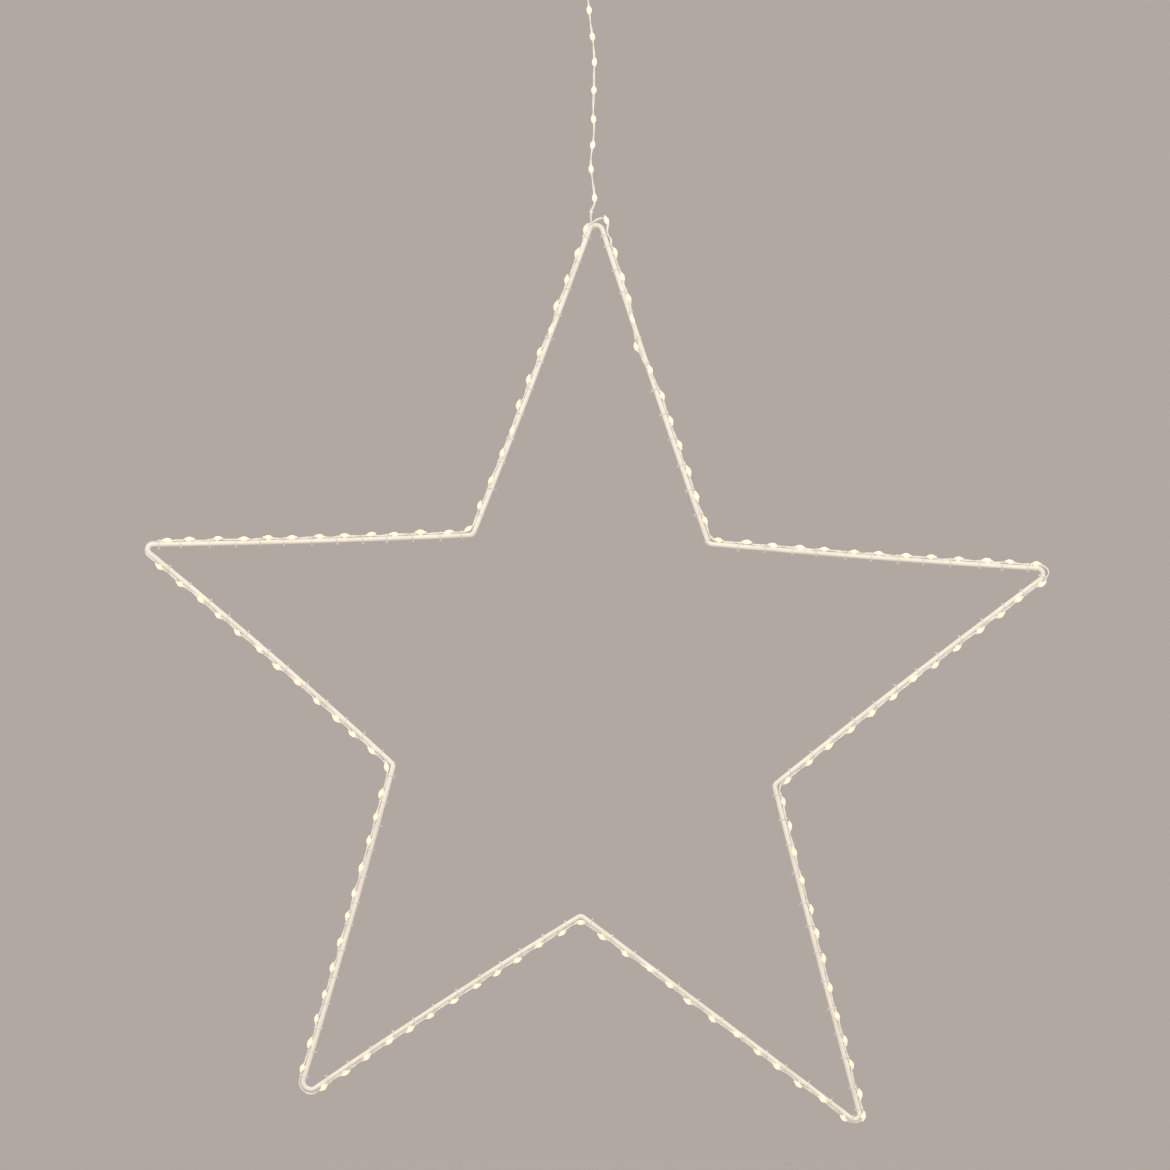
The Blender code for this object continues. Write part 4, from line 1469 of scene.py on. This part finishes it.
    def course(self, distance: float) -> Vector:
        """Finds where the middle of the two wires runs: out through each drop, in under each tie.

        Args:
            distance: How far along the string.

        Returns:
            The point.
        """
        place = self.side(distance)
        to_drops, to_ties = np.abs(self.drops - distance), np.abs(self.ties - distance)
        near = int(to_drops.argmin())
        hump = math.exp(-((to_drops[near] / self.drop_hump) ** 2))
        pinch = math.exp(-((to_ties.min() / self.tie_pinch) ** 2))
        free = max(0.0, 1 - hump - pinch)
        out = hump * self.stands[near] + pinch * (self.tie.wires_out - self.standoff)
        out += self.slack(distance) * (1 - pinch)
        out += free * (self.wander * math.sin(distance / self.wander_out_in) - self.hug)
        waver = math.sin(distance / self.wander_front_in + self.wander_phase)
        front = hump * self.fronts[near] + free * self.wander * waver
        return place.spot + place.out * out + place.way.cross(place.out) * front

    def make_wires(self) -> None:
        """Makes the two fine wires, from the knot down to the rod and on round the whole star."""
        start, end = -self.start_before_tip, self.drops[-1] + self.drop.length / 2 + self.end_stub
        count = round((end - start) / self.path_step)
        points = [self.course(start + (end - start) * i / count) for i in range(count + 1)]
        first, landing = self.knot_bottom + UP * self.into_knot, points[0]
        bows = [first + (landing - first) * down - SIDEWAYS * aside for down, aside in self.lead_in_bows]
        points = smooth_line([first, *bows, landing], self.path_step / 2, after=points[1])[:-1] + points
        legs = nodes_named("light_string_leg")
        self.pair.lay("string_wires", points, Body.STAR, "lead_in_wires", *legs)

    def make_drops(self) -> None:
        """Sets a drop and its chip at every place along the string, each with its own tilt."""
        places = []
        for i, distance in enumerate(self.drops):
            place = self.side(distance)
            facing = place.way.cross(place.out)
            stand = self.stands[i] + self.slack(distance)
            spot = place.spot + place.out * stand + facing * self.fronts[i]
            lean = place.out * self.leans[i][0] + facing * self.leans[i][1]
            places.append(Place(spot, (place.way + lean).normalized(), place.out))
        legs = nodes_named("light_string_leg")
        self.drop.set_along("light", places, Body.STAR, legs, self.size_spread, self.turn_spread)

    def make_ties(self) -> None:
        """Sets a thread tie beside every drop, and one where the string starts."""
        places = []
        for distance in self.ties:
            place = self.side(distance)
            places.append(Place(place.spot - place.out * self.standoff, place.way, place.out))
        units = [self.tie.unit(tail) for tail in self.tie.tails]
        nodes = nodes_named("string_tie")
        set_pieces("string_ties", places, units, NYLON, Body.STAR, nodes, 0.0, self.tie.turn)

    def build(self) -> None:
        """Makes the wires, the drops and the ties."""
        self.make_wires()
        self.make_drops()
        self.make_ties()


@dataclass
class HangingKnot:
    """The knot in the wires that the star hangs from: one turn through itself, pulled tight."""

    top: Vector
    diameter: float = 0.0026
    height: float = 0.0025
    depth_share: float = 1.8
    wire_radius: float = 0.00040
    wire_sides: int = 8
    steps: int = 72

    @property
    def bottom(self) -> Vector:
        """The point where the wires leave it."""
        return self.top - UP * self.height

    def build(self) -> None:
        """Makes the knot, whose line is a trefoil that reaches 3 across before it is scaled."""
        centre = self.top - UP * self.height / 2
        across = (self.diameter / 2 - self.wire_radius) / 3
        tall = (self.height / 2 - self.wire_radius) / 3
        points = []
        for i in range(self.steps):
            turn = 2 * math.pi * i / self.steps
            x = math.sin(turn) + 2 * math.sin(2 * turn)
            z = math.cos(turn) - 2 * math.cos(2 * turn)
            y = math.sin(3 * turn) * self.depth_share
            points.append(centre + Vector((x * across, y * across, z * tall)))
        path = path_mesh(points, closed=True)
        knot = lay_wires("hanging_knot_wires", path, self.wire_radius, self.wire_sides)
        hand_in(knot, SILVERED_WIRE, Body.STAR, "hanging_knot")


# The lead with its loop and its plug


@dataclass
class LoopBinding:
    """A thread wound five times round the lead and its own tail, with its knot at the back."""

    middle: Vector
    half_spread: float
    thread_radius: float = 0.00017
    thread_sides: int = 6
    lead_radius: float = 0.00081
    tail_radius: float = 0.00080
    arc_steps: int = 8
    turns: int = 5
    pitch: float = 0.00035
    knot_back: float = 0.0012
    knot_radius: float = 0.0005
    knot_sides: int = 8
    knot_grain: tuple[float, ...] = (0.0007, 0.0, 0.0003)
    # A cut end's steps: to where it leaves the knot, to its bend, and to its end
    end_steps: tuple[tuple[float, ...], ...] = (
        (0.0005, 0.0, 0.0),
        (0.0008, 0.0005, 0.0004),
        (0.0006, 0.0003, 0.0010),
    )
    end_sides: int = 5
    sharp_deg: float = 60.0

    def build(self) -> Object:
        """Makes the binding.

        Returns:
            The binding.
        """
        work = bmesh.new()
        band = belt(2 * self.half_spread, self.lead_radius, self.tail_radius, self.arc_steps)
        centre = self.middle - SIDEWAYS * self.half_spread
        wind(work, centre, band, self.turns, self.pitch, self.thread_radius, self.thread_sides)
        knot = self.middle - FRONT * self.knot_back
        tie_knot(work, knot, Vector(self.knot_grain), self.knot_radius, self.knot_sides, FRONT)
        for side in (-1, 1):
            line = [knot]
            for x, y, z in self.end_steps:
                line.append(line[-1] + Vector((side * x, y, side * z)))
            tube(work, line[1:], [self.thread_radius] * len(self.end_steps), self.end_sides, UP)
        binding = link_object("loop_binding", mesh_from("loop_binding", work, self.sharp_deg))
        return hand_in(binding, NYLON, Body.LEAD, "loop_tie")


@dataclass
class Lead:
    """The twisted pair that the star hangs on, from its knot over the ring and down to the plug."""

    ring_bottom: float
    ring_wire: float
    diameter: float = 0.0012
    fall: float = 0.1700
    sway: float = 0.0022
    loop_steps: int = 3
    waist_reach: float = 0.0025
    tie_below_ring: float = 0.0111
    tie_half_spread: float = 0.0010
    tail_reach: float = 0.0046
    tail_bend_below: float = 0.0141
    plug_x: float = 0.0058
    plug_below_ring: float = 0.0161
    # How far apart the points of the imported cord, of the wires' path and of the drops' line are
    cord_step: float = 0.0027
    path_step: float = 0.0006
    fine_step: float = 0.0001
    pair: TwistedPair = TwistedPair(spread=0.00040, twist=0.0290, sides=8)
    into_knot: float = 0.0008
    into_sleeve: float = 0.0020
    # How far up the lead from the knot each drop sits
    drop_rises: tuple[float, ...] = (
        0.0084, 0.0271, 0.0426, 0.0594, 0.0781, 0.0962, 0.1126, 0.1298, 0.1473,
    )
    drop: Drop = field(default_factory=lambda: Drop(diameter=0.0033))
    # How unlike the drops' sizes are, and how far they turn about the lead, in radians
    size_spread: float = 0.0
    turn_spread: float = 1.0
    # The lead's sway on its way up from the knot: sideways, and how much of its fall is left
    rise_shares: tuple[Spot, ...] = (
        (0.00, 1.000), (0.91, 0.978), (0.95, 0.950), (0.64, 0.911), (0.14, 0.865), (-0.14, 0.819),
        (0.18, 0.774), (0.68, 0.729), (0.82, 0.683), (0.59, 0.638), (0.64, 0.592), (0.77, 0.547),
        (0.82, 0.490), (0.95, 0.441), (0.64, 0.376), (0.23, 0.331), (-0.23, 0.288), (-0.55, 0.251),
        (-0.86, 0.206), (-1.00, 0.135), (-0.82, 0.065),
    )

    @property
    def tie_z(self) -> float:
        """The height of the loop's binding."""
        return self.ring_bottom - self.tie_below_ring

    @property
    def end(self) -> Vector:
        """The lower end of the lead, where the star's knot begins."""
        return Vector((0.0, 0.0, self.tie_z - self.fall))

    def line(self) -> list[Vector]:
        """Lays the lead's middle line, from the knot over the ring's lower wire to the plug.

        Returns:
            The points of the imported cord.
        """
        over_ring = self.ring_wire / 2 + SEAT_GAP + self.diameter / 2
        reach = over_ring / math.cos(math.pi / self.loop_steps / 2)
        sides = [
            (reach, self.ring_bottom),
            (self.waist_reach, self.ring_bottom - self.ring_wire),
            (self.tie_half_spread, self.tie_z),
        ]
        rise = [(self.sway * sideways, self.tie_z - self.fall * down) for sideways, down in self.rise_shares]
        rise += [(-x, z) for x, z in reversed(sides)]
        tail = [
            *sides,
            (self.tail_reach, self.ring_bottom - self.tail_bend_below),
            (self.plug_x, self.ring_bottom - self.plug_below_ring + SEAT_GAP),
        ]
        loop = []
        for i in range(1, self.loop_steps):
            turn = math.pi * i / self.loop_steps
            loop.append(Vector((-math.cos(turn) * reach, 0, self.ring_bottom + math.sin(turn) * reach)))
        up = smooth_line([Vector((x, 0, z)) for x, z in rise], self.cord_step, after=loop[0])
        down = smooth_line([Vector((x, 0, z)) for x, z in tail], self.cord_step, before=loop[-1])
        return up + loop + down

    def make_wires(self) -> Object:
        """Makes the twisted pair itself.

        Returns:
            The pair.
        """
        self.path = smooth_line(self.line(), self.path_step)
        points = [self.path[0] - UP * self.into_knot, *self.path, self.path[-1] - UP * self.into_sleeve]
        return self.pair.lay("lead_pair", points, Body.LEAD, "lead_cord")

    def make_drops(self) -> list[Object]:
        """Sets the lead's drops and their chips.

        Returns:
            The drops and the chips.
        """
        line = even_line(self.line(), self.fine_step)
        places = []
        for rise in self.drop_rises:
            at = round(rise / self.fine_step)
            way = (line[at + 1] - line[at - 1]).normalized()
            places.append(Place(line[at], way, FRONT.cross(way)))
        nodes = nodes_named("lead_drop")
        spreads = (self.size_spread, self.turn_spread)
        return self.drop.set_along("lead_light", places, Body.LEAD, nodes, *spreads)

    def declare(self, others: Sequence[Object]) -> None:
        """Works out the lead's end, the length of its path and the path's points, and keeps none of them.

        Args:
            others: The pieces on it. Not used.
        """
        tuple(self.end)
        round(sum((b - a).length for a, b in zip(self.path, self.path[1:])), 4)
        [tuple(point) for point in self.path]


@dataclass
class Plug:
    """The low-voltage plug on the lead's tail: a ribbed sleeve, a body with a waist, and two pins."""

    x: float
    top: float
    relief_length: float = 0.0070
    relief_top: float = 0.0022
    relief_bottom: float = 0.0042
    ribs: int = 3
    groove: float = 0.0004
    # One rib with its groove: along, and how deep
    rib_shares: tuple[Spot, ...] = ((0.44, 0.0), (0.56, 0.0), (0.66, 1.0), (0.84, 1.0), (0.94, 0.0))
    relief_round: float = 0.00012
    relief_sides: int = 32
    length: float = 0.0130
    diameter: float = 0.0074
    edge: float = 0.0010
    waist: float = 0.0004
    # The part of the body that is drawn in, and one of its ribs: along, and how much of the waist it fills
    grip_shares: Spot = (0.30, 0.70)
    grip_ribs: int = 4
    grip_rib_shares: tuple[Spot, ...] = ((0.0, 0.0), (0.35, 0.0), (0.55, 0.6), (0.8, 0.6))
    body_round: float = 0.0003
    body_sides: int = 40
    pin_diameter: float = 0.0012
    pin_length: float = 0.0080
    pin_seat: float = 0.0030
    pin_spacing: float = 0.0032
    pin_point: float = 0.0004
    pin_round: float = 0.0001
    pin_sides: int = 20
    sharp_deg: float = 50.0

    @property
    def body_top(self) -> float:
        """The height of the body's upper face."""
        return self.top - self.relief_length - SEAT_GAP

    def make_sleeve(self) -> Object:
        """Makes the tapered sleeve with its grooves, down onto the body.

        Returns:
            The sleeve.
        """
        taper = (self.relief_bottom - self.relief_top) / 2
        pitch = self.relief_length / (self.ribs + 1)
        profile: list[Spot] = [(0.0, 0.0), (self.relief_top / 2, 0.0)]
        for i in range(self.ribs):
            for along_share, depth_share in self.rib_shares:
                along = pitch * (i + along_share)
                radius = self.relief_top / 2 + taper * along / self.relief_length
                profile.append((radius - self.groove * depth_share, -along))
        foot = self.body_top - self.top
        profile += [(self.relief_bottom / 2, foot), (0.0, foot)]
        profile = rounded(profile, self.relief_round, steps=3)
        top = Vector((self.x, 0, self.top))
        mesh = lathe("plug_sleeve", profile, self.relief_sides, top, self.sharp_deg)
        return hand_in(link_object("plug_sleeve", mesh), PLASTIC, Body.LEAD, "plug_strain_relief")

    def make_body(self) -> Object:
        """Makes the plug's body with a grip of low ribs in its waist.

        Returns:
            The body.
        """
        radius, waist = self.diameter / 2, self.diameter / 2 - self.waist
        profile: list[Spot] = [(0.0, 0.0), (radius - self.edge, 0.0), (radius, -self.edge)]
        low, high = (self.length * share for share in self.grip_shares)
        pitch = (high - low) / self.grip_ribs
        for i in range(self.grip_ribs):
            for along, fill in self.grip_rib_shares:
                profile.append((waist + self.waist * fill, -low - pitch * (i + along)))
        profile += [(waist, -high), (radius, self.edge - self.length)]
        profile += [(radius, -self.length), (0.0, -self.length)]
        top = Vector((self.x, 0, self.body_top))
        profile = rounded(profile, self.body_round)
        mesh = lathe("plug_body", profile, self.body_sides, top, self.sharp_deg)
        return hand_in(link_object("plug_body", mesh), PLASTIC, Body.LEAD, "plug_housing")

    def make_pins(self) -> Object:
        """Makes the two turned pins with their pointed ends.

        Returns:
            The pins.
        """
        radius = self.pin_diameter / 2
        profile: list[Spot] = [(0.0, 0.0), (radius, 0.0), (radius, self.pin_point - self.pin_length)]
        profile += [(radius - self.pin_point / 2, -self.pin_length), (0.0, -self.pin_length)]
        work = bmesh.new()
        for side in (-1, 1):
            seat = self.body_top - self.length + self.pin_seat
            centre = Vector((self.x, side * self.pin_spacing / 2, seat))
            mesh = lathe("pin", rounded(profile, self.pin_round, steps=3), self.pin_sides, centre)
            work.from_mesh(mesh)
            bpy.data.meshes.remove(mesh)
        pins = link_object("plug_contacts", mesh_from("plug_contacts", work))
        return hand_in(pins, BRASS, Body.LEAD, "plug_pin_1", "plug_pin_2")


# The ceiling fitting


@dataclass
class CeilingFitting:
    """The stick-on base with its wire hook, and the ring that hangs on it."""

    pad_diameter: float = 0.0360
    pad_thickness: float = 0.0012
    pad_pinch: float = 0.0003
    pad_steps: int = 6
    base_diameter: float = 0.0400
    base_thickness: float = 0.0030
    base_edge: float = 0.0012
    edge_steps: int = 6
    base_sharp_deg: float = 35.0
    boss_diameter: float = 0.0100
    boss_height: float = 0.0025
    # The cove above the boss and the rounding of its lower edge, as shares of its height
    cove_share: float = 0.5
    boss_edge_share: float = 0.25
    boss_steps: int = 4
    socket_floor: float = 0.0012
    socket_edge: float = 0.0003
    sides: int = 72
    wire: float = 0.0030
    wire_sides: int = 24
    wire_step: float = 0.0002
    wire_sharp_deg: float = 50.0
    # How thin the hook's domed tip gets, as a share of the wire
    dome_end: float = 0.05
    bow_radius: float = 0.0062
    bow_steps: int = 32
    shank_below_boss: float = 0.0030
    neck_height: float = 0.0080
    neck_steps: int = 24
    tip_rise: float = 0.0020
    ring_wire: float = 0.0030
    ring_radius: float = 0.0065
    ring_steps: int = 96
    ring_sides: int = 20
    # The weld in the ring: where it is on the way round, how long it is and how much thicker
    weld_at: float = 0.28
    weld_reach: float = 0.012
    weld_swell: float = 0.07

    @property
    def base_top(self) -> float:
        """The height of the base's upper face."""
        return -self.pad_thickness - SEAT_GAP

    @property
    def boss_bottom(self) -> float:
        """The height of the boss's lower face."""
        return self.base_top - self.base_thickness - self.boss_height

    @property
    def bow_centre(self) -> float:
        """The height of the middle of the hook's bow."""
        return self.boss_bottom - self.shank_below_boss - self.neck_height

    @property
    def ring_top(self) -> float:
        """The height of the middle of the ring's upper wire."""
        return self.bow_centre - self.bow_radius + self.wire / 2 + SEAT_GAP + self.ring_wire / 2

    @property
    def ring_bottom(self) -> float:
        """The height of the middle of the ring's lower wire."""
        return self.ring_top - 2 * self.ring_radius

    def make_pad(self) -> None:
        """Makes the foam pad, up against the base, its wall drawn in a little between its two skins."""
        radius, steps = self.pad_diameter / 2, self.pad_steps
        profile: list[Spot] = [(0.0, 0.0), (radius, 0.0)]
        for i in range(1, steps):
            pinch = self.pad_pinch * math.sin(math.pi * i / steps)
            profile.append((radius - pinch, self.base_top * i / steps))
        profile += [(radius, self.base_top), (0.0, self.base_top)]
        pad = link_object("foam_pad", lathe("foam_pad", profile, self.sides, Vector()))
        hand_in(pad, FOAM, Body.CEILING, "adhesive_pad")

    def make_base(self) -> None:
        """Makes the moulded base: a low disc, a cove up to its boss, and the hook's socket."""
        radius, boss = self.base_diameter / 2, self.boss_diameter / 2
        bottom, socket = self.base_top - self.base_thickness, self.wire / 2 + SEAT_GAP
        cove, edge = self.boss_height * self.cove_share, self.boss_height * self.boss_edge_share
        floor = self.base_top - self.socket_floor
        profile: list[Spot] = [
            (0.0, self.base_top),
            (radius, self.base_top),
            *quarter((radius, bottom), (-self.base_edge, self.base_edge), self.edge_steps),
            *reversed(quarter((boss, bottom), (cove, -cove), self.edge_steps)),
            *quarter((boss, self.boss_bottom), (-edge, edge), self.boss_steps),
            (socket + self.socket_edge, self.boss_bottom),
            (socket, self.boss_bottom + self.socket_edge),
            (socket, floor),
            (0.0, floor),
        ]
        mesh = lathe("hook_disc", profile, self.sides, Vector(), self.base_sharp_deg)
        base = link_object("hook_disc", mesh)
        hand_in(base, PLASTIC, Body.CEILING, "hook_base")

    def make_hook(self) -> None:
        """Bends the hook: a straight shank, a neck to one side, a bow and a rounded tip."""
        neck_top = self.boss_bottom - self.shank_below_boss
        points = [UP * (self.base_top - self.socket_floor - SEAT_GAP)]
        for i in range(self.neck_steps + 1):
            share = i / self.neck_steps
            aside = self.bow_radius * (1 - math.cos(math.pi * share)) / 2
            points.append(Vector((-aside, 0, neck_top - self.neck_height * share)))
        for i in range(1, self.bow_steps + 1):
            turn = math.pi * i / self.bow_steps
            way = Vector((-math.cos(turn), 0, -math.sin(turn)))
            points.append(UP * self.bow_centre + way * self.bow_radius)
        points.append(Vector((self.bow_radius, 0, self.bow_centre + self.tip_rise)))
        line = even_line(points, self.wire_step)
        dome_share = self.wire / 2 / ((len(line) - 1) * self.wire_step)

        def thickness(share: float) -> float:
            """Keeps the wire whole up to its domed tip."""
            short = 1 - min(1.0, (1 - share) / dome_share)
            return max(self.dome_end, math.sqrt(1 - short**2))

        path = path_mesh(line, thickness=thickness)
        radius, sharp_deg = self.wire / 2, self.wire_sharp_deg
        hook = lay_wires("wire_hook", path, radius, self.wire_sides, sharp_deg=sharp_deg)
        hand_in(hook, STEEL, Body.CEILING, "ceiling_hook")

    def make_ring(self) -> None:
        """Bends the ring, with the slight swelling of its weld beside the top."""
        points = []
        for i in range(self.ring_steps):
            turn = 2 * math.pi * i / self.ring_steps
            way = Vector((0, math.sin(turn), math.cos(turn)))
            points.append(UP * (self.ring_top - self.ring_radius) + way * self.ring_radius)

        def thickness(share: float) -> float:
            """Swells the wire at its weld."""
            return 1 + self.weld_swell * math.exp(-(((share - self.weld_at) / self.weld_reach) ** 2))

        path = path_mesh(points, closed=True, thickness=thickness)
        ring = lay_wires("wire_ring", path, self.ring_wire / 2, self.ring_sides, facing=SIDEWAYS)
        hand_in(ring, STEEL, Body.RING, "hanging_ring")

    def build(self) -> None:
        """Makes the pad, the base, the hook and the ring."""
        self.make_pad()
        self.make_base()
        self.make_hook()
        self.make_ring()


# The picture: camera, floor and light


@dataclass
class Picture:
    """The photograph's own framing, laid on the star's plane."""

    pixels: int = 1170
    metres_per_pixel: float = 0.000644
    axis_pixel: float = 591.2
    top_edge: float = -0.0797
    distance: float = 2.0
    sensor_mm: float = 36.0
    nearest: float = 0.05
    farthest: float = 50.0

    @property
    def centre(self) -> Vector:
        """The point of the star's plane in the middle of the picture."""
        aside = (self.pixels / 2 - self.axis_pixel) * self.metres_per_pixel
        return Vector((aside, 0, self.top_edge - self.pixels / 2 * self.metres_per_pixel))

    def make_camera(self) -> None:
        """Sets the camera square in front of the star."""
        data = bpy.data.cameras.new("camera")
        data.sensor_width = self.sensor_mm
        data.lens = self.sensor_mm * self.distance / (self.pixels * self.metres_per_pixel)
        data.clip_start, data.clip_end = self.nearest, self.farthest
        camera = link_object("camera", data)
        camera.location = self.centre + FRONT * self.distance
        camera.rotation_euler = (math.pi / 2, 0, 0)
        bpy.context.scene.camera = camera


@dataclass(frozen=True)
class Lamp:
    """A square soft lamp: where it hangs from the object's middle, its side, its watts and its colour."""

    name: str
    place: tuple[float, ...]
    size: float
    power: float
    colour: str = "#FFFFFF"

    def hang(self, target: Vector) -> None:
        """Hangs the lamp, turned towards its target.

        Args:
            target: The point that it lights.
        """
        data = bpy.data.lights.new(self.name, "AREA")
        data.shape, data.size, data.energy = "SQUARE", self.size, self.power
        data.color = linear(self.colour)[:3]
        lamp = link_object(self.name, data)
        lamp.location = target + Vector(self.place)
        lamp.rotation_euler = (-Vector(self.place)).to_track_quat("-Z", "Y").to_euler()


@dataclass
class Studio:
    """A plain pale floor that fades into a plain pale backdrop, and large soft lamps."""

    floor_z: float = -1.02
    floor_rings: int = 24
    floor_sides: int = 96
    ambient: float = 0.74
    lamps: tuple[Lamp, ...] = (
        Lamp("key_lamp", (-1.5, -2.2, 1.4), 1.4, 28.0, "#FFFAF2"),
        Lamp("fill_lamp", (1.9, -1.6, 0.5), 1.6, 13.0),
        Lamp("back_lamp", (0.4, 2.2, 1.2), 1.4, 16.0),
    )

    def make_floor(self) -> None:
        """Lays the floor as a disc that fades out towards its edge."""
        profile = [(FLOOR_PAINT.fade_to * (i / self.floor_rings), 0.0) for i in range(self.floor_rings + 1)]
        floor = link_object("floor", lathe("floor", profile, self.floor_sides, UP * self.floor_z))
        floor.data.materials.append(FLOOR_PAINT.material())

    def make_world(self) -> None:
        """Lights the object evenly and shows the backdrop to the camera and to gloss."""
        world = bpy.data.worlds.new("studio")
        bpy.context.scene.world = world
        world.use_nodes = True
        tree = world.node_tree
        tree.nodes.clear()
        path = add_node(tree, "ShaderNodeLightPath").outputs
        seen = path["Is Camera Ray"]
        for kind in ("Is Glossy Ray", "Is Transmission Ray"):
            seen = add_output(tree, "ShaderNodeMath", {0: seen, 1: path[kind]}, operation="MAXIMUM")
        light = {"Color": linear("#FFFFFF"), "Strength": self.ambient}
        shown = {"Color": linear(FLOOR_PAINT.colour), "Strength": 1.0}
        sides = [add_output(tree, "ShaderNodeBackground", side) for side in (light, shown)]
        mixed = add_output(tree, "ShaderNodeMixShader", dict(enumerate([seen, *sides])))
        add_node(tree, "ShaderNodeOutputWorld", {"Surface": mixed})

    def build(self, target: Vector) -> None:
        """Sets up the floor, the backdrop and the lamps.

        Args:
            target: The middle of the object, which the lamps turn towards.
        """
        self.make_floor()
        self.make_world()
        for lamp in self.lamps:
            lamp.hang(target)
        bpy.context.scene.view_settings.view_transform = "Standard"


def main() -> None:
    """Builds the camera, the lead, the fitting, the star and the studio."""
    logging.basicConfig(level=logging.INFO, format="%(message)s")
    picture = Picture()
    picture.make_camera()
    fitting = CeilingFitting()
    lead = Lead(fitting.ring_bottom, fitting.ring_wire)
    wires = lead.make_wires()
    drops = lead.make_drops()
    binding = LoopBinding(UP * lead.tie_z, lead.tie_half_spread).build()
    plug = Plug(x=lead.plug_x, top=fitting.ring_bottom - lead.plug_below_ring)
    lead.declare([*drops, binding, plug.make_sleeve(), plug.make_body(), plug.make_pins()])
    fitting.build()
    knot = HangingKnot(top=lead.end - UP * SEAT_GAP)
    knot.build()
    rod = StarRod(Bends(hung_from=lead.end))
    rod.build()
    LightString(rod, knot.bottom).build()
    Studio().build(picture.centre)


if __name__ == "__main__":
    main()
